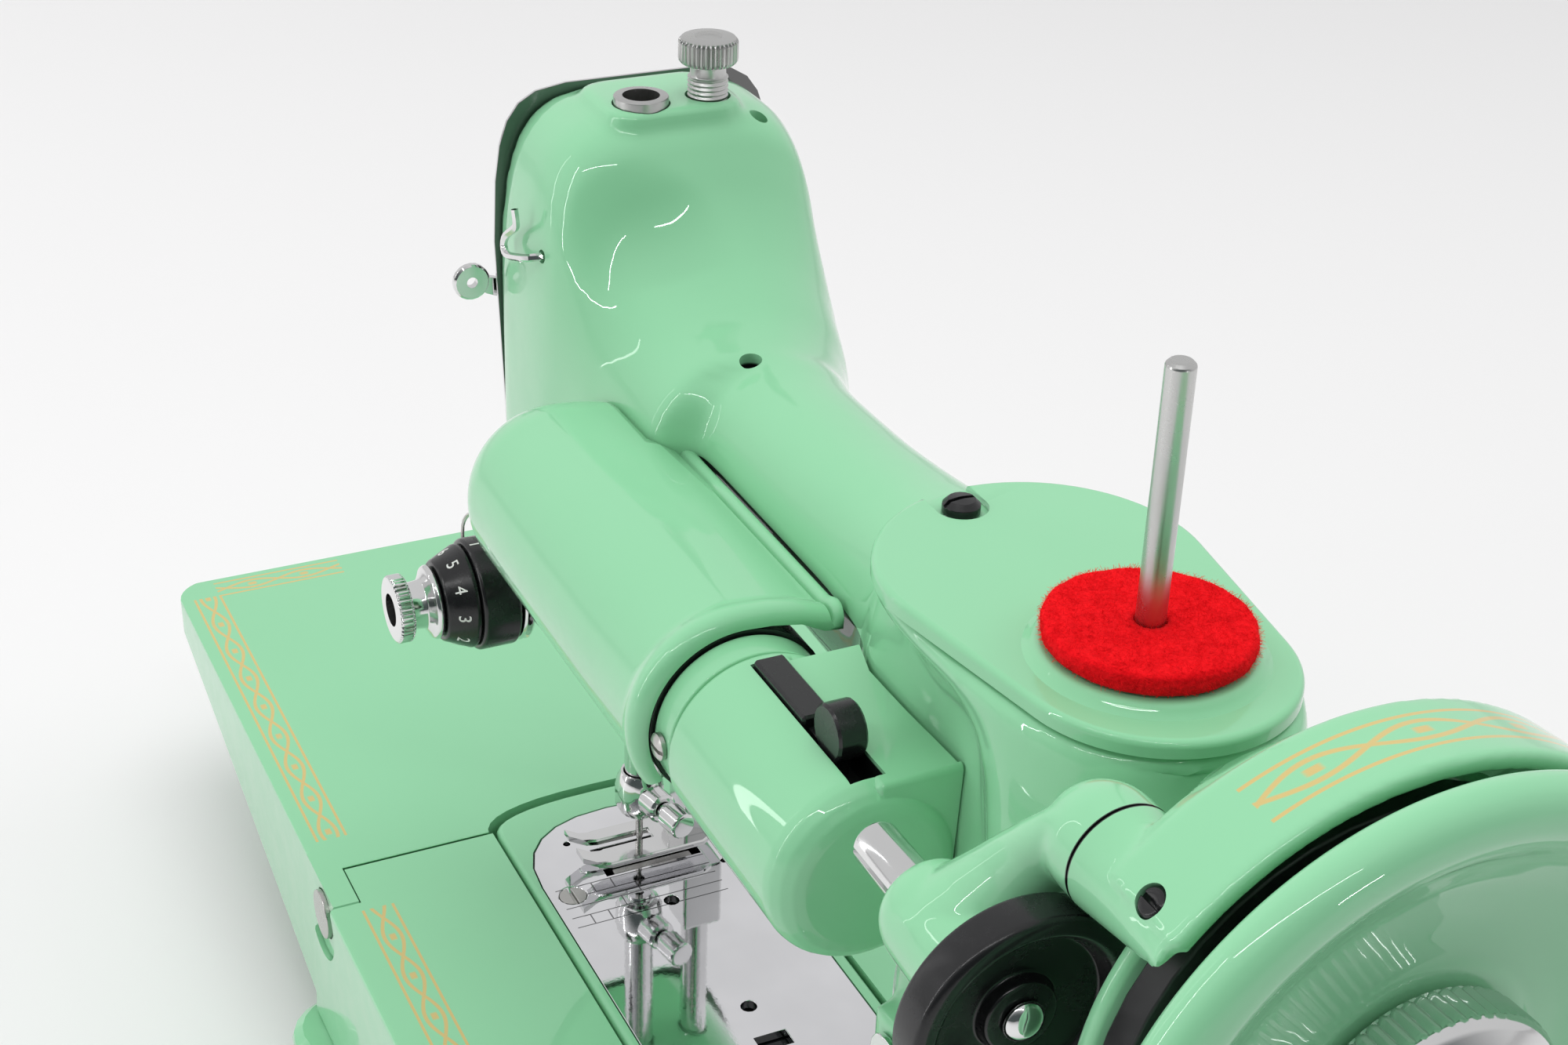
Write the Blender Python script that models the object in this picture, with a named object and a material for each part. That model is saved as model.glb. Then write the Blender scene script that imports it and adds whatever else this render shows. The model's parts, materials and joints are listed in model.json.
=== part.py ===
"""Portable free-arm sewing machine with a slide-off bed extension and a folding leaf.

Frame: metres, +Z up. X runs from the needle towards the handwheel, Y from the operator to the back.
The origin lies on the underside plate, straight below the needle.
Every size below is in millimetres. Heights named *_Z are counted from the top of the bed.
"""
import math

import bmesh
import bpy
from mathutils import Matrix, Vector

MM = 0.001
GAP = 0.3                 # clearance kept between pieces that touch
BIG = 400.0               # reach of cutters that pass right through

# ---- bed, free arm and tray -------------------------------------------------------------
BED_H = 51.0              # bed top above the underside plate
BED_FRONT = -67.3
BED_BACK = 97.0
BED_RIGHT = 238.0
BED_CORNER = 14.0
BED_SPLIT = 134.0         # where the removable extension meets the fixed bed
ARM_BED_HALF = 25.9       # half width of the free arm
ARM_BED_END = -26.5       # left end of the free arm
ARM_BED_NOSE = 8.5        # length of its rounded end
ARM_BED_DEPTH = 36.0
ARM_BED_WALL = 3.0
ARM_COVER_T = 1.4         # sheet that closes the free arm from below
SEAM = 0.9                # open joint between free arm and extension
NOSE_SEAM = 1.8           # wider joint round the rounded end
BED_WALL = 3.5
TRAY_TOP_Z = -41.0
TRAY_LEFT = -24.0
TRAY_FRONT = -64.0
TRAY_BACK = 94.0
PLATE_T = 1.4             # underside plate
TRAY_BOTTOM_Z = -BED_H + PLATE_T + GAP
FOOT_BOSS_R = 13.0
FOOT_LEFT = -18.0
FOOT_RIGHT = 222.0
FOOT_FRONT = -61.5
FOOT_BACK = 90.5
FOOT_R = 10.0
FOOT_BELOW = 5.0          # rubber below the underside plate

# ---- leaf and its hinge -----------------------------------------------------------------
LEAF_END = -151.3
LEAF_FRONT = -66.2
LEAF_BACK = 96.0
LEAF_CORNER = 9.0
LEAF_TIP_T = 7.0
LEAF_ROOT_T = 39.5
LEAF_WALL = 3.2
HINGE_X = -14.5
HINGE_Z = -6.5
RULE_R = 8.3              # round joint between leaf and extension, about the hinge
LUG_R = 9.6
LUG_W = 5.6
PIN_R = 2.6
PIN_HEAD_R = 5.4
PIN_HEAD_T = 1.4

# ---- arm, head and pillar ---------------------------------------------------------------
SHAFT_Z = 124.6           # axis of arm shaft and handwheel
SHAFT_R = 4.5
HEAD_LEFT = -19.8
HEAD_LOW_Z = 52.0
HEAD_TOP_Z = 168.5
PAD_TOP_Z = 170.4
PRESS_Y = 13.4            # presser bar behind the needle bar
PILLAR_TOP_Z = 148.7
COVER_T = 2.5
SPOOL_X = 174.0
FACE_SCREW_Y = 26.0
FACE_SCREW_Z = 138.0
LAMP_RECESS_Y = -11.0     # front of the arm behind the lamp shade
NICHE_Y = -17.1           # front of the pillar behind the lamp socket
NICHE_SHARE = (0.42, 0.54)  # part of the pillar's width over which the niche runs out

# ---- needle plate -----------------------------------------------------------------------
NP_LEFT = -18.4
NP_RIGHT = 79.0
NP_FRONT = -23.5
NP_BACK = 22.9
NP_T = 2.0
NEEDLE_HOLE_R = 1.3

# ---- bars -------------------------------------------------------------------------------
NBAR_R = 3.175
NBAR_LOW_Z = 12.0
NBAR_TOP_Z = 152.0
NEEDLE_TIP_Z = -16.0
PBAR_R = 3.0
PBAR_LOW_Z = 9.0
PBAR_TOP_Z = 156.0
FOOT_LIFT = 3.4           # sole of the presser foot above the plate
THUMB_TURN = 11.0         # degrees by which the needle screw points to the back
TAKE_Y = 25.0             # pivot of the take-up lever
TAKE_Z = 112.0
TAKE_EYE_Y = -26.4
TAKE_EYE_Z = 129.9
LIFTER_X = -4.0
LIFTER_Z = 84.0

# ---- hook and feed, under the needle plate ------------------------------------------------
HOOK_Z = -21.5
HOOK_R = 12.5
HOOK_SHAFT_R = 3.5

# ---- tension unit -----------------------------------------------------------------------
TEN_Z = 73.6
TEN_R = 11.2
TEN_STUD_R = 3.0

# ---- lamp -------------------------------------------------------------------------------
LAMP_Y = -30.0
LAMP_Z = 112.0
SHADE_R = 17.0
SHADE_T = 1.6
SHADE_LEFT = 21.3
SHADE_DOME = 15.0         # length of the domed left end
SHADE_RIGHT = 113.0
SHADE_BACK = -10.2        # back edge, against the recess of the arm
SHADE_BEAD = 1.1          # height of the bead along the back edge
SOCKET_R = 15.2
SOCKET_RIGHT = 158.0

# ---- stitch length lever ----------------------------------------------------------------
STITCH_X = 171.0
STITCH_Z = 66.0
STITCH_FACE_Y = -28.9

# ---- handwheel, guard and winder --------------------------------------------------------
WHEEL_HUB_R = 17.5
WHEEL_LEFT = 204.0
GUARD_R = 45.2            # outer radius of the belt guard
GUARD_T = 2.5
FLANGE_R = GUARD_R - 9.2  # flanges of the belt groove, turning inside the guard
RIM_R = GUARD_R + 1.1
GROOVE_X = 223.5
GROOVE_R = FLANGE_R - 4.5
BELT_W = 4.6
BELT_T = 4.0
GUARD_RIGHT = 231.0
GUARD_END = 138.0         # angle from +Y at which the band ends
LUG_R_WINDER = 7.5
LUG_INSET = 8.4           # winder pivot inside the outer face of the guard
LUG_ANGLE = 136.0
LUG_LEFT = WHEEL_LEFT + 6.0
LUG_Y = (GUARD_R - LUG_INSET) * math.cos(math.radians(LUG_ANGLE))
LUG_Z = SHAFT_Z + (GUARD_R - LUG_INSET) * math.sin(math.radians(LUG_ANGLE))
TYRE_R = 15.7
TYRE_GAP = 4.5            # between tyre and wheel hub while the winder is off
WIND_ANGLE = 172.9
WIND_OUT = WHEEL_HUB_R + TYRE_R + TYRE_GAP
WIND_Y = WIND_OUT * math.cos(math.radians(WIND_ANGLE))
WIND_Z = SHAFT_Z + WIND_OUT * math.sin(math.radians(WIND_ANGLE))
SPINDLE_R = 3.4

# ---- motor ------------------------------------------------------------------------------
MOTOR_Y = 63.0
MOTOR_Z = 42.0
MOTOR_R = 29.0
MOTOR_LEFT = 112.0
MOTOR_RIGHT = 207.0
PULLEY_R = 6.5
MOTOR_STANDOFF = 4.6


def wipe():
    for obj in list(bpy.data.objects):
        bpy.data.objects.remove(obj, do_unlink=True)


def material(name, rgb, rough, metal):
    mat = bpy.data.materials.new(name)
    mat.use_nodes = True
    shader = mat.node_tree.nodes["Principled BSDF"]
    shader.inputs["Base Color"].default_value = (*rgb, 1.0)
    shader.inputs["Roughness"].default_value = rough
    shader.inputs["Metallic"].default_value = metal
    return mat


wipe()
MINT = material("mint_paint", (0.24, 0.58, 0.34), 0.15, 0.0)
CHROME = material("chrome", (0.80, 0.80, 0.80), 0.10, 1.0)
STEEL = material("steel", (0.55, 0.54, 0.52), 0.30, 1.0)
BLACK = material("black_plastic", (0.015, 0.015, 0.016), 0.25, 0.0)
RUBBER = material("rubber", (0.02, 0.02, 0.02), 0.75, 0.0)
FELT = material("felt", (0.72, 0.01, 0.01), 0.95, 0.0)
GLASS = material("frosted_glass", (0.90, 0.88, 0.80), 0.35, 0.0)


# ---- small modelling kit ----------------------------------------------------------------
def at(x, y, z):
    """A point given from the needle, with its height counted from the bed top."""
    return Vector((x, y, z + BED_H))


def finish(name, bm, mat, sharp=38.0):
    bmesh.ops.remove_doubles(bm, verts=bm.verts, dist=1e-4)
    bmesh.ops.recalc_face_normals(bm, faces=bm.faces)
    mesh = bpy.data.meshes.new(name)
    bm.to_mesh(mesh)
    bm.free()
    mesh.transform(Matrix.Scale(MM, 4))
    mesh.materials.append(mat)
    mesh.shade_smooth()
    mesh.set_sharp_from_angle(angle=math.radians(sharp))
    obj = bpy.data.objects.new(name, mesh)
    bpy.context.scene.collection.objects.link(obj)
    return obj


def tool(obj):
    """Marks an object as an operand that isn't part of the machine."""
    obj.hide_render = True
    obj.display_type = 'WIRE'
    return obj


def combine(obj, other, how):
    mod = obj.modifiers.new(how.lower() + "_" + other.name, 'BOOLEAN')
    mod.operation = how
    mod.solver = 'EXACT'
    mod.object = tool(other)


def cut(obj, *others):
    for other in others:
        combine(obj, other, 'DIFFERENCE')


def join(obj, *others):
    for other in others:
        combine(obj, other, 'UNION')


AXES = {
    'X': (Vector((1, 0, 0)), Vector((0, 0, 1))),
    'Y': (Vector((0, 1, 0)), Vector((0, 0, 1))),
    'Z': (Vector((0, 0, 1)), Vector((1, 0, 0))),
}


def turned(name, centre, axis, profile, mat, steps=24, sharp=38.0):
    """Spins a profile of (distance along the axis, radius) pairs into a solid."""
    along, out = AXES[axis]
    bm = bmesh.new()
    verts = [bm.verts.new(centre + along * d + out * r) for d, r in profile]
    edges = [bm.edges.new((verts[i], verts[i + 1])) for i in range(len(verts) - 1)
             if profile[i][1] > 0.0 or profile[i + 1][1] > 0.0]
    if profile[0][1] > 0.0 or profile[-1][1] > 0.0:
        edges.append(bm.edges.new((verts[-1], verts[0])))
    bmesh.ops.spin(bm, geom=verts + edges, cent=centre, axis=along, dvec=(0, 0, 0),
                   angle=math.tau, steps=steps, use_merge=True, use_duplicate=False)
    bmesh.ops.remove_doubles(bm, verts=bm.verts, dist=1e-4)
    bm.normal_update()
    hubs = [v for v in bm.verts if along.cross(v.co - centre).length < 1e-3
            and all(abs(abs(f.normal.dot(along)) - 1.0) < 1e-4 for f in v.link_faces)]
    bmesh.ops.dissolve_verts(bm, verts=hubs)
    return finish(name, bm, mat, sharp)


def rod(name, centre, axis, start, end, radius, mat=STEEL, steps=20, edge=0.0):
    e = edge
    profile = [(start, 0.0), (start, radius - e), (start + e, radius), (end - e, radius),
               (end, radius - e), (end, 0.0)]
    if not e:
        profile = [(start, 0.0), (start, radius), (end, radius), (end, 0.0)]
    return turned(name, centre, axis, profile, mat, steps)


def tube(name, centre, axis, start, end, inner, outer, mat=CHROME, steps=24):
    profile = [(start, inner), (start, outer), (end, outer), (end, inner)]
    return turned(name, centre, axis, profile, mat, steps)


def extruded(name, outline, plane, low, high, mat, bevel=0.0, segments=2):
    """Extrudes a flat outline. Planes: XY (height from the bed), XZ and YZ."""
    place = {
        'XY': lambda u, v, w: at(u, v, w),
        'XZ': lambda u, v, w: at(u, w, v),
        'YZ': lambda u, v, w: at(w, u, v),
    }[plane]
    bm = bmesh.new()
    face = bm.faces.new([bm.verts.new(place(u, v, low)) for u, v in outline])
    grown = bmesh.ops.extrude_face_region(bm, geom=[face])
    verts = [g for g in grown["geom"] if isinstance(g, bmesh.types.BMVert)]
    bmesh.ops.translate(bm, verts=verts, vec=place(0, 0, high) - place(0, 0, low))
    obj = finish(name, bm, mat)
    if bevel:
        mod = obj.modifiers.new("edge", 'BEVEL')
        mod.width = bevel * MM
        mod.segments = segments
        mod.limit_method = 'ANGLE'
        mod.angle_limit = math.radians(50)
    return obj


def box(name, x, y, z, mat=STEEL, bevel=0.0, segments=2):
    outline = [(x[0], y[0]), (x[1], y[0]), (x[1], y[1]), (x[0], y[1])]
    return extruded(name, outline, 'XY', z[0], z[1], mat, bevel, segments)


def loft(name, rings, mat, sharp=38.0, closed=False):
    """Skins a row of equal rings and caps both ends, or closes the row on itself."""
    bm = bmesh.new()
    loops = [[bm.verts.new(p) for p in ring] for ring in rings]
    pairs = list(zip(loops, loops[1:]))
    if closed:
        pairs.append((loops[-1], loops[0]))
    for first, second in pairs:
        count = len(first)
        for i in range(count):
            j = (i + 1) % count
            bm.faces.new((first[i], first[j], second[j], second[i]))
    if not closed:
        bm.faces.new(loops[0])
        bm.faces.new(loops[-1])
    return finish(name, bm, mat, sharp)


def arc(cu, cv, r, start, end, steps):
    """Points of a circle arc, angles in degrees."""
    span = math.radians(end - start)
    first = math.radians(start)
    return [(cu + r * math.cos(first + span * i / steps),
             cv + r * math.sin(first + span * i / steps)) for i in range(steps + 1)]


def rounded(u0, u1, v0, v1, r, steps=5):
    """Rectangle outline with round corners."""
    points = arc(u1 - r, v0 + r, r, -90, 0, steps)
    points += arc(u1 - r, v1 - r, r, 0, 90, steps)
    points += arc(u0 + r, v1 - r, r, 90, 180, steps)
    points += arc(u0 + r, v0 + r, r, 180, 270, steps)
    return points


def power_point(angle, a, b, power):
    c = math.cos(angle)
    s = math.sin(angle)
    u = math.copysign(abs(c) ** (2.0 / power), c) * a
    v = math.copysign(abs(s) ** (2.0 / power), s) * b
    return u, v


def wire(name, points, radius, mat=CHROME, sides=6):
    """A bent round wire through the points."""
    rings = []
    last = len(points) - 1
    across = None
    for i, p in enumerate(points):
        along = (points[min(i + 1, last)] - points[max(i - 1, 0)]).normalized()
        if across is None:
            across = along.orthogonal()
        across = (across - along * across.dot(along)).normalized()
        up = along.cross(across)
        turns = [math.tau * k / sides for k in range(sides)]
        rings.append([p + (across * math.cos(t) + up * math.sin(t)) * radius for t in turns])
    return loft(name, rings, mat)


def smooth_path(knots, per_span=3):
    """Points on a Catmull-Rom curve through the knots."""
    out = []
    last = len(knots) - 1
    for i in range(last):
        p0 = knots[max(i - 1, 0)]
        p1 = knots[i]
        p2 = knots[i + 1]
        p3 = knots[min(i + 2, last)]
        for k in range(per_span):
            t = k / per_span
            out.append(0.5 * ((2 * p1) + (p2 - p0) * t + (2 * p0 - 5 * p1 + 4 * p2 - p3) * t * t
                              + (3 * p1 - p0 - 3 * p2 + p3) * t ** 3))
    out.append(knots[last])
    return out


# ---- casting: bed, tray, free arm, pillar, arm and head ----------------------------------
def arm_ring(x, front, back, low, high, power, toe=0.0, count=28):
    """Section of arm or head across X. Toe narrows the part below the lamp height."""
    cy = (front + back) / 2
    cz = (low + high) / 2
    toe_top = 96.0
    ring = []
    for i in range(count):
        angle = math.tau * (i + 0.5) / count
        u, v = power_point(angle, (back - front) / 2, (high - low) / 2, power)
        z = cz + v
        if toe and z < toe_top:
            u *= 1.0 - toe * ((toe_top - z) / (toe_top - low)) ** 1.5
        ring.append(at(x, cy + u, z))
    return ring


def free_arm_outline(grow=0.0):
    """Plan of the free arm, from its root round the nose and back."""
    half = ARM_BED_HALF + grow
    nose = ARM_BED_NOSE + grow
    start = ARM_BED_END + ARM_BED_NOSE
    points = [(BED_SPLIT + 12.0, -half)]
    for i in range(17):
        angle = math.radians(-90.0 - 180.0 * i / 16)
        u, v = power_point(angle, nose, half, 2.6)
        points.append((start + u, v))
    points.append((BED_SPLIT + 12.0, half))
    return points


def pillar_ring(z, left, right, half_left, half_right, power, niche=0.0, count=28):
    """Level section of the pillar, a little wider at the arm end than at the wheel end.

    Niche is how far the front falls back there, beside the lamp socket.
    """
    cx = (left + right) / 2
    a = (right - left) / 2
    first, last = NICHE_SHARE
    ring = []
    for i in range(count):
        u, v = power_point(math.tau * (i + 0.5) / count, a, 1.0, power)
        share = (u + a) / (2 * a)
        half = half_left + (half_right - half_left) * share
        if v < 0.0:
            out = min(max((share - first) / (last - first), 0.0), 1.0)
            half -= niche * (1.0 - out)
        ring.append(at(cx + u, v * half, z))
    return ring


def cover_outline(grow=0.0, steps=12):
    """Egg-shaped plan of the top cover: a large round end, a smaller one and their tangents."""
    big = (147.6, 24.3 + grow)
    small = (175.6, 19.8 + grow)
    lean = math.degrees(math.asin((big[1] - small[1]) / (small[0] - big[0])))
    points = arc(small[0], 0.0, small[1], -90 + lean, 90 - lean, steps)
    points += arc(big[0], 0.0, big[1], 90 - lean, 270 + lean, steps)
    return points


def arm_sections():
    """Stations of arm and head, from the face of the head to inside the pillar.

    Each is (x, front, back, low, high, squareness, toe).
    """
    return [
        (HEAD_LEFT, -21.4, 35.4, HEAD_LOW_Z, HEAD_TOP_Z - 0.7, 4.4, 0.44),
        (-14.0, -21.9, 35.8, HEAD_LOW_Z, HEAD_TOP_Z, 4.6, 0.44),
        (-4.0, -22.1, 35.4, HEAD_LOW_Z, HEAD_TOP_Z, 4.6, 0.44),
        (3.0, -21.9, 34.4, HEAD_LOW_Z + 0.6, HEAD_TOP_Z - 0.6, 4.4, 0.42),
        (7.5, -21.5, 33.6, HEAD_LOW_Z + 2.0, HEAD_TOP_Z - 2.6, 4.2, 0.40),
        (11.0, -21.0, 33.3, HEAD_LOW_Z + 4.0, 161.6, 3.8, 0.36),
        (15.5, -20.5, 33.2, 60.0, 155.6, 3.4, 0.28),
        (20.5, -20.1, 32.6, 67.0, 150.9, 3.0, 0.18),
        (26.0, -19.7, 31.2, 76.0, 147.3, 2.7, 0.06),
        (33.0, -19.3, 28.8, 87.0, 144.2, 2.5, 0.0),
        (40.0, -19.0, 25.2, 95.0, 142.0, 2.4, 0.0),
        (48.0, -18.6, 21.8, 100.4, 140.8, 2.3, 0.0),
        (54.6, LAMP_RECESS_Y - 0.4, 19.6, 102.8, 140.2, 2.3, 0.0),
        (62.0, LAMP_RECESS_Y, 18.5, 104.0, 139.9, 2.3, 0.0),
        (80.0, LAMP_RECESS_Y, 18.2, 105.0, 140.2, 2.3, 0.0),
        (100.0, LAMP_RECESS_Y - 0.1, 19.0, 104.0, 141.6, 2.3, 0.0),
        (116.0, LAMP_RECESS_Y - 1.2, 20.4, 101.0, 144.0, 2.4, 0.0),
        (130.0, NICHE_Y + 0.6, 22.6, 95.5, 146.4, 2.6, 0.0),
        (142.0, NICHE_Y + 0.6, 23.8, 87.0, PILLAR_TOP_Z - 1.0, 3.0, 0.0),
        (156.0, NICHE_Y + 0.6, 22.0, 72.0, PILLAR_TOP_Z - 2.0, 3.0, 0.0),
    ]


def pillar_levels():
    """Levels of the pillar.

    Each is (z, left, right, half width left, half width right, squareness, niche).
    """
    deep = 26.0 + NICHE_Y
    return [
        (-3.0, 138.0, 212.0, 33.0, 33.0, 3.2, 0.0),
        (3.0, 138.0, 211.5, 32.6, 32.0, 3.2, 0.0),
        (9.0, 141.0, 209.0, 31.0, 30.4, 3.2, 0.0),
        (20.0, 145.0, 205.8, 29.2, 28.6, 3.1, 0.0),
        (40.0, 147.0, 204.2, 28.4, 27.6, 3.0, 0.0),
        (66.0, 147.2, 203.4, 28.0, 27.0, 3.0, 0.0),
        (88.0, 145.0, 202.8, 27.4, 26.2, 2.9, 0.0),
        (98.0, 142.0, 202.5, 27.0, 25.6, 2.85, deep * 0.5),
        (107.0, 139.0, 202.2, 26.6, 25.0, 2.8, deep),
        (121.0, 132.0, 201.0, 26.0, 23.8, 2.7, deep),
        (133.0, 126.2, 199.4, 25.8, 22.7, 2.6, deep),
        (139.0, 123.8, 198.2, 25.8, 22.2, 2.55, deep * 0.74),
        (143.4, 122.4, 197.3, 25.8, 21.8, 2.5, deep * 0.34),
        (147.4, 121.8, 196.8, 25.6, 21.4, 2.45, 0.0),
        (PILLAR_TOP_Z, 122.8, 195.8, 24.8, 20.6, 2.45, 0.0),
    ]


def build_casting():
    body = loft("machine_body", [arm_ring(*s) for s in arm_sections()], MINT)

    pillar = loft("pillar_form", [pillar_ring(*s) for s in pillar_levels()], MINT)

    plan = [(BED_SPLIT, BED_BACK), (BED_SPLIT, BED_FRONT)]
    plan += arc(BED_RIGHT - BED_CORNER, BED_FRONT + BED_CORNER, BED_CORNER, -90, 0, 6)
    plan += arc(BED_RIGHT - BED_CORNER, BED_BACK - BED_CORNER, BED_CORNER, 0, 90, 6)
    block = extruded("block_form", plan, 'XY', TRAY_TOP_Z - 1.0, 0.0, MINT, 1.2, 2)
    root = extruded("free_arm_form", free_arm_outline(), 'XY', -ARM_BED_DEPTH, 0.0, MINT, 1.4, 3)
    tray = extruded("tray_form", rounded(TRAY_LEFT, BED_RIGHT, TRAY_FRONT, TRAY_BACK, 9.0),
                    'XY', TRAY_BOTTOM_Z, TRAY_TOP_Z, MINT, 1.2, 2)
    join(body, pillar, block, root, tray)
    for tag, x, y in foot_places():
        boss = turned("boss_" + tag, at(x, y, 0), 'Z',
                      [(TRAY_BOTTOM_Z - 0.2, 0.0), (TRAY_BOTTOM_Z - 0.2, FOOT_BOSS_R - 1.5),
                       (TRAY_TOP_Z - 3.0, FOOT_BOSS_R), (TRAY_TOP_Z - 1.7, FOOT_BOSS_R - 0.4),
                       (TRAY_TOP_Z - 0.05, FOOT_BOSS_R - 2.4), (TRAY_TOP_Z - 0.05, 0.0)], MINT, 20)
        join(body, boss)

    # bosses: shaft bearing at the wheel end, motor seat, pads on top of the head
    bearing = turned("bearing_form", at(0, 0, SHAFT_Z), 'X',
                     [(180.0, 0.0), (180.0, 17.0), (200.0, 16.4), (WHEEL_LEFT - 0.6, 13.0),
                      (WHEEL_LEFT - 0.6, 0.0)], MINT, 28)
    seat = box("motor_seat_form", (150.0, 186.0), (15.0, MOTOR_Y - MOTOR_R - MOTOR_STANDOFF),
               (MOTOR_Z - 16.0, MOTOR_Z + 16.0), MINT, 1.5, 2)
    pad = extruded("pad_form", rounded(-15.5, 6.2, -7.6, 24.0, 5.2, 4), 'XY', 160.0, PAD_TOP_Z,
                   MINT, 1.6, 2)
    lifter_boss = rod("lifter_boss_form", at(LIFTER_X, 0, LIFTER_Z), 'Y', 20.0, 35.2, 7.0, MINT, 20, 0.8)
    stitch_pad = box("stitch_pad_form", (STITCH_X - 13.0, STITCH_X + 13.0), (STITCH_FACE_Y, -20.0),
                     (STITCH_Z - 24.0, STITCH_Z + 24.0), MINT, 2.0, 3)
    join(body, bearing, seat, pad, lifter_boss, stitch_pad)

    # hollow of the head, open towards the face plate
    room = box("head_room", (HEAD_LEFT - 5.0, 10.0), (-13.0, 19.5), (66.0, 152.0), MINT, 4.0, 2)
    arm_room = box("free_arm_room", (-23.0, BED_SPLIT + 4.0),
                   (-ARM_BED_HALF + ARM_BED_WALL, ARM_BED_HALF - ARM_BED_WALL),
                   (-ARM_BED_DEPTH - 3.0, -NP_T - GAP - 2.0), MINT)
    room_front = FOOT_FRONT + FOOT_BOSS_R + 4.5
    room_back = FOOT_BACK - FOOT_BOSS_R - 4.5
    block_room = box("block_room", (BED_SPLIT + 8.0, BED_RIGHT - 12.0), (room_front, room_back),
                     (TRAY_BOTTOM_Z - 6.0, -6.0), MINT)
    tray_room = box("tray_room", (TRAY_LEFT + 8.0, BED_SPLIT + 20.0), (room_front, room_back),
                    (TRAY_BOTTOM_Z - 6.0, TRAY_TOP_Z - 2.6), MINT)
    cut(body, room, arm_room, block_room, tray_room)
    shaft_bore = rod("shaft_bore", at(0, 0, SHAFT_Z), 'X', 4.0, 230.0, SHAFT_R + GAP, MINT, 24)
    needle_bore = rod("needle_bore", at(0, 0, 0), 'Z', 40.0, 80.0, NBAR_R + GAP, MINT, 24)
    bush_bore = rod("bush_bore", at(0, 0, 0), 'Z', 140.0, 190.0, 5.15 + GAP, MINT, 24)
    press_bore = rod("press_bore", at(0, PRESS_Y, 0), 'Z', 40.0, 80.0, PBAR_R + GAP, MINT, 24)
    screw_bore = rod("screw_bore", at(0, PRESS_Y, 0), 'Z', 140.0, 190.0, 4.0 + GAP, MINT, 24)
    lever_bore = rod("lever_bore", at(0, TAKE_Y, TAKE_Z), 'X', HEAD_LEFT - 5.0, -8.0, 2.5 + GAP,
                     MINT, 20)
    lifter_bore = rod("lifter_bore", at(LIFTER_X, 0, LIFTER_Z), 'Y', 26.5, 50.0, 2.5 + GAP, MINT, 20)
    tension_bore = rod("tension_bore", at(0, 0, TEN_Z), 'Y', -40.0, -10.0, TEN_STUD_R + GAP, MINT, 20)
    spool_bore = rod("spool_bore", at(SPOOL_X, 0, 0), 'Z', PILLAR_TOP_Z - 10.0, 190.0, 2.1 + GAP,
                     MINT, 16)
    cut(body, shaft_bore, needle_bore, bush_bore, press_bore, screw_bore, lever_bore, lifter_bore,
        tension_bore, spool_bore)
    for tag, x, y, z in (("head", -3.0, 27.5, 170.0), ("arm", 50.0, 0.0, 146.0)):
        cut(body, rod("oil_hole_" + tag, at(x, y, z), 'Z', -12.0, 12.0, 2.0, MINT, 12))
    cut(body, *stitch_cuts(), thread_hook_bore())
    slot = box("feed_slot", (-8.5, 9.5), (-12.0, 20.0), (-20.0, 2.0), MINT)
    recess = extruded("plate_recess", plate_outline(GAP), 'XY', -NP_T - GAP, 5.0, MINT)
    screw_hole = rod("plate_screw_bore", at(8.4, -18.6, 0), 'Z', -8.0, 5.0, 1.8, MINT, 12)
    cover_hole = rod("cover_screw_bore", at(129.2, -3.0, 0), 'Z', PILLAR_TOP_Z - 9.0, 190.0, 1.9,
                     MINT, 12)
    face_hole = rod("face_screw_bore", at(0, FACE_SCREW_Y, FACE_SCREW_Z), 'X', -30.0, -8.0, 1.9, MINT, 12)
    cut(body, recess, slot, screw_hole, cover_hole, face_hole)
    return body


def foot_places():
    return [("fl", FOOT_LEFT, FOOT_FRONT), ("fr", FOOT_RIGHT, FOOT_FRONT),
            ("bl", FOOT_LEFT, FOOT_BACK), ("br", FOOT_RIGHT, FOOT_BACK)]


def plate_outline(grow=0.0):
    """Plan of the needle plate: a round left end and round corners on the right."""
    left = NP_LEFT - grow
    front = NP_FRONT - grow
    back = NP_BACK + grow
    right = NP_RIGHT + grow
    nose = 22.0
    points = []
    for i in range(13):
        angle = math.radians(90.0 + 180.0 * i / 12)
        u, v = power_point(angle, nose, (back - front) / 2, 2.4)
        points.append((left + nose + u, (front + back) / 2 + v))
    points += arc(right - 11.0, front + 11.0, 11.0, -90, 0, 6)
    points += arc(right - 11.0, back - 11.0, 11.0, 0, 90, 6)
    return points


def circle_hull(first, second, steps=8):
    """Outline round two circles given as (u, v, radius)."""
    du = second[0] - first[0]
    dv = second[1] - first[1]
    span = math.hypot(du, dv)
    heading = math.degrees(math.atan2(dv, du))
    lean = math.degrees(math.acos((first[2] - second[2]) / span))
    points = arc(second[0], second[1], second[2], heading - lean, heading + lean, steps)
    points += arc(first[0], first[1], first[2], heading + lean, heading + 360 - lean, steps)
    return points


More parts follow.
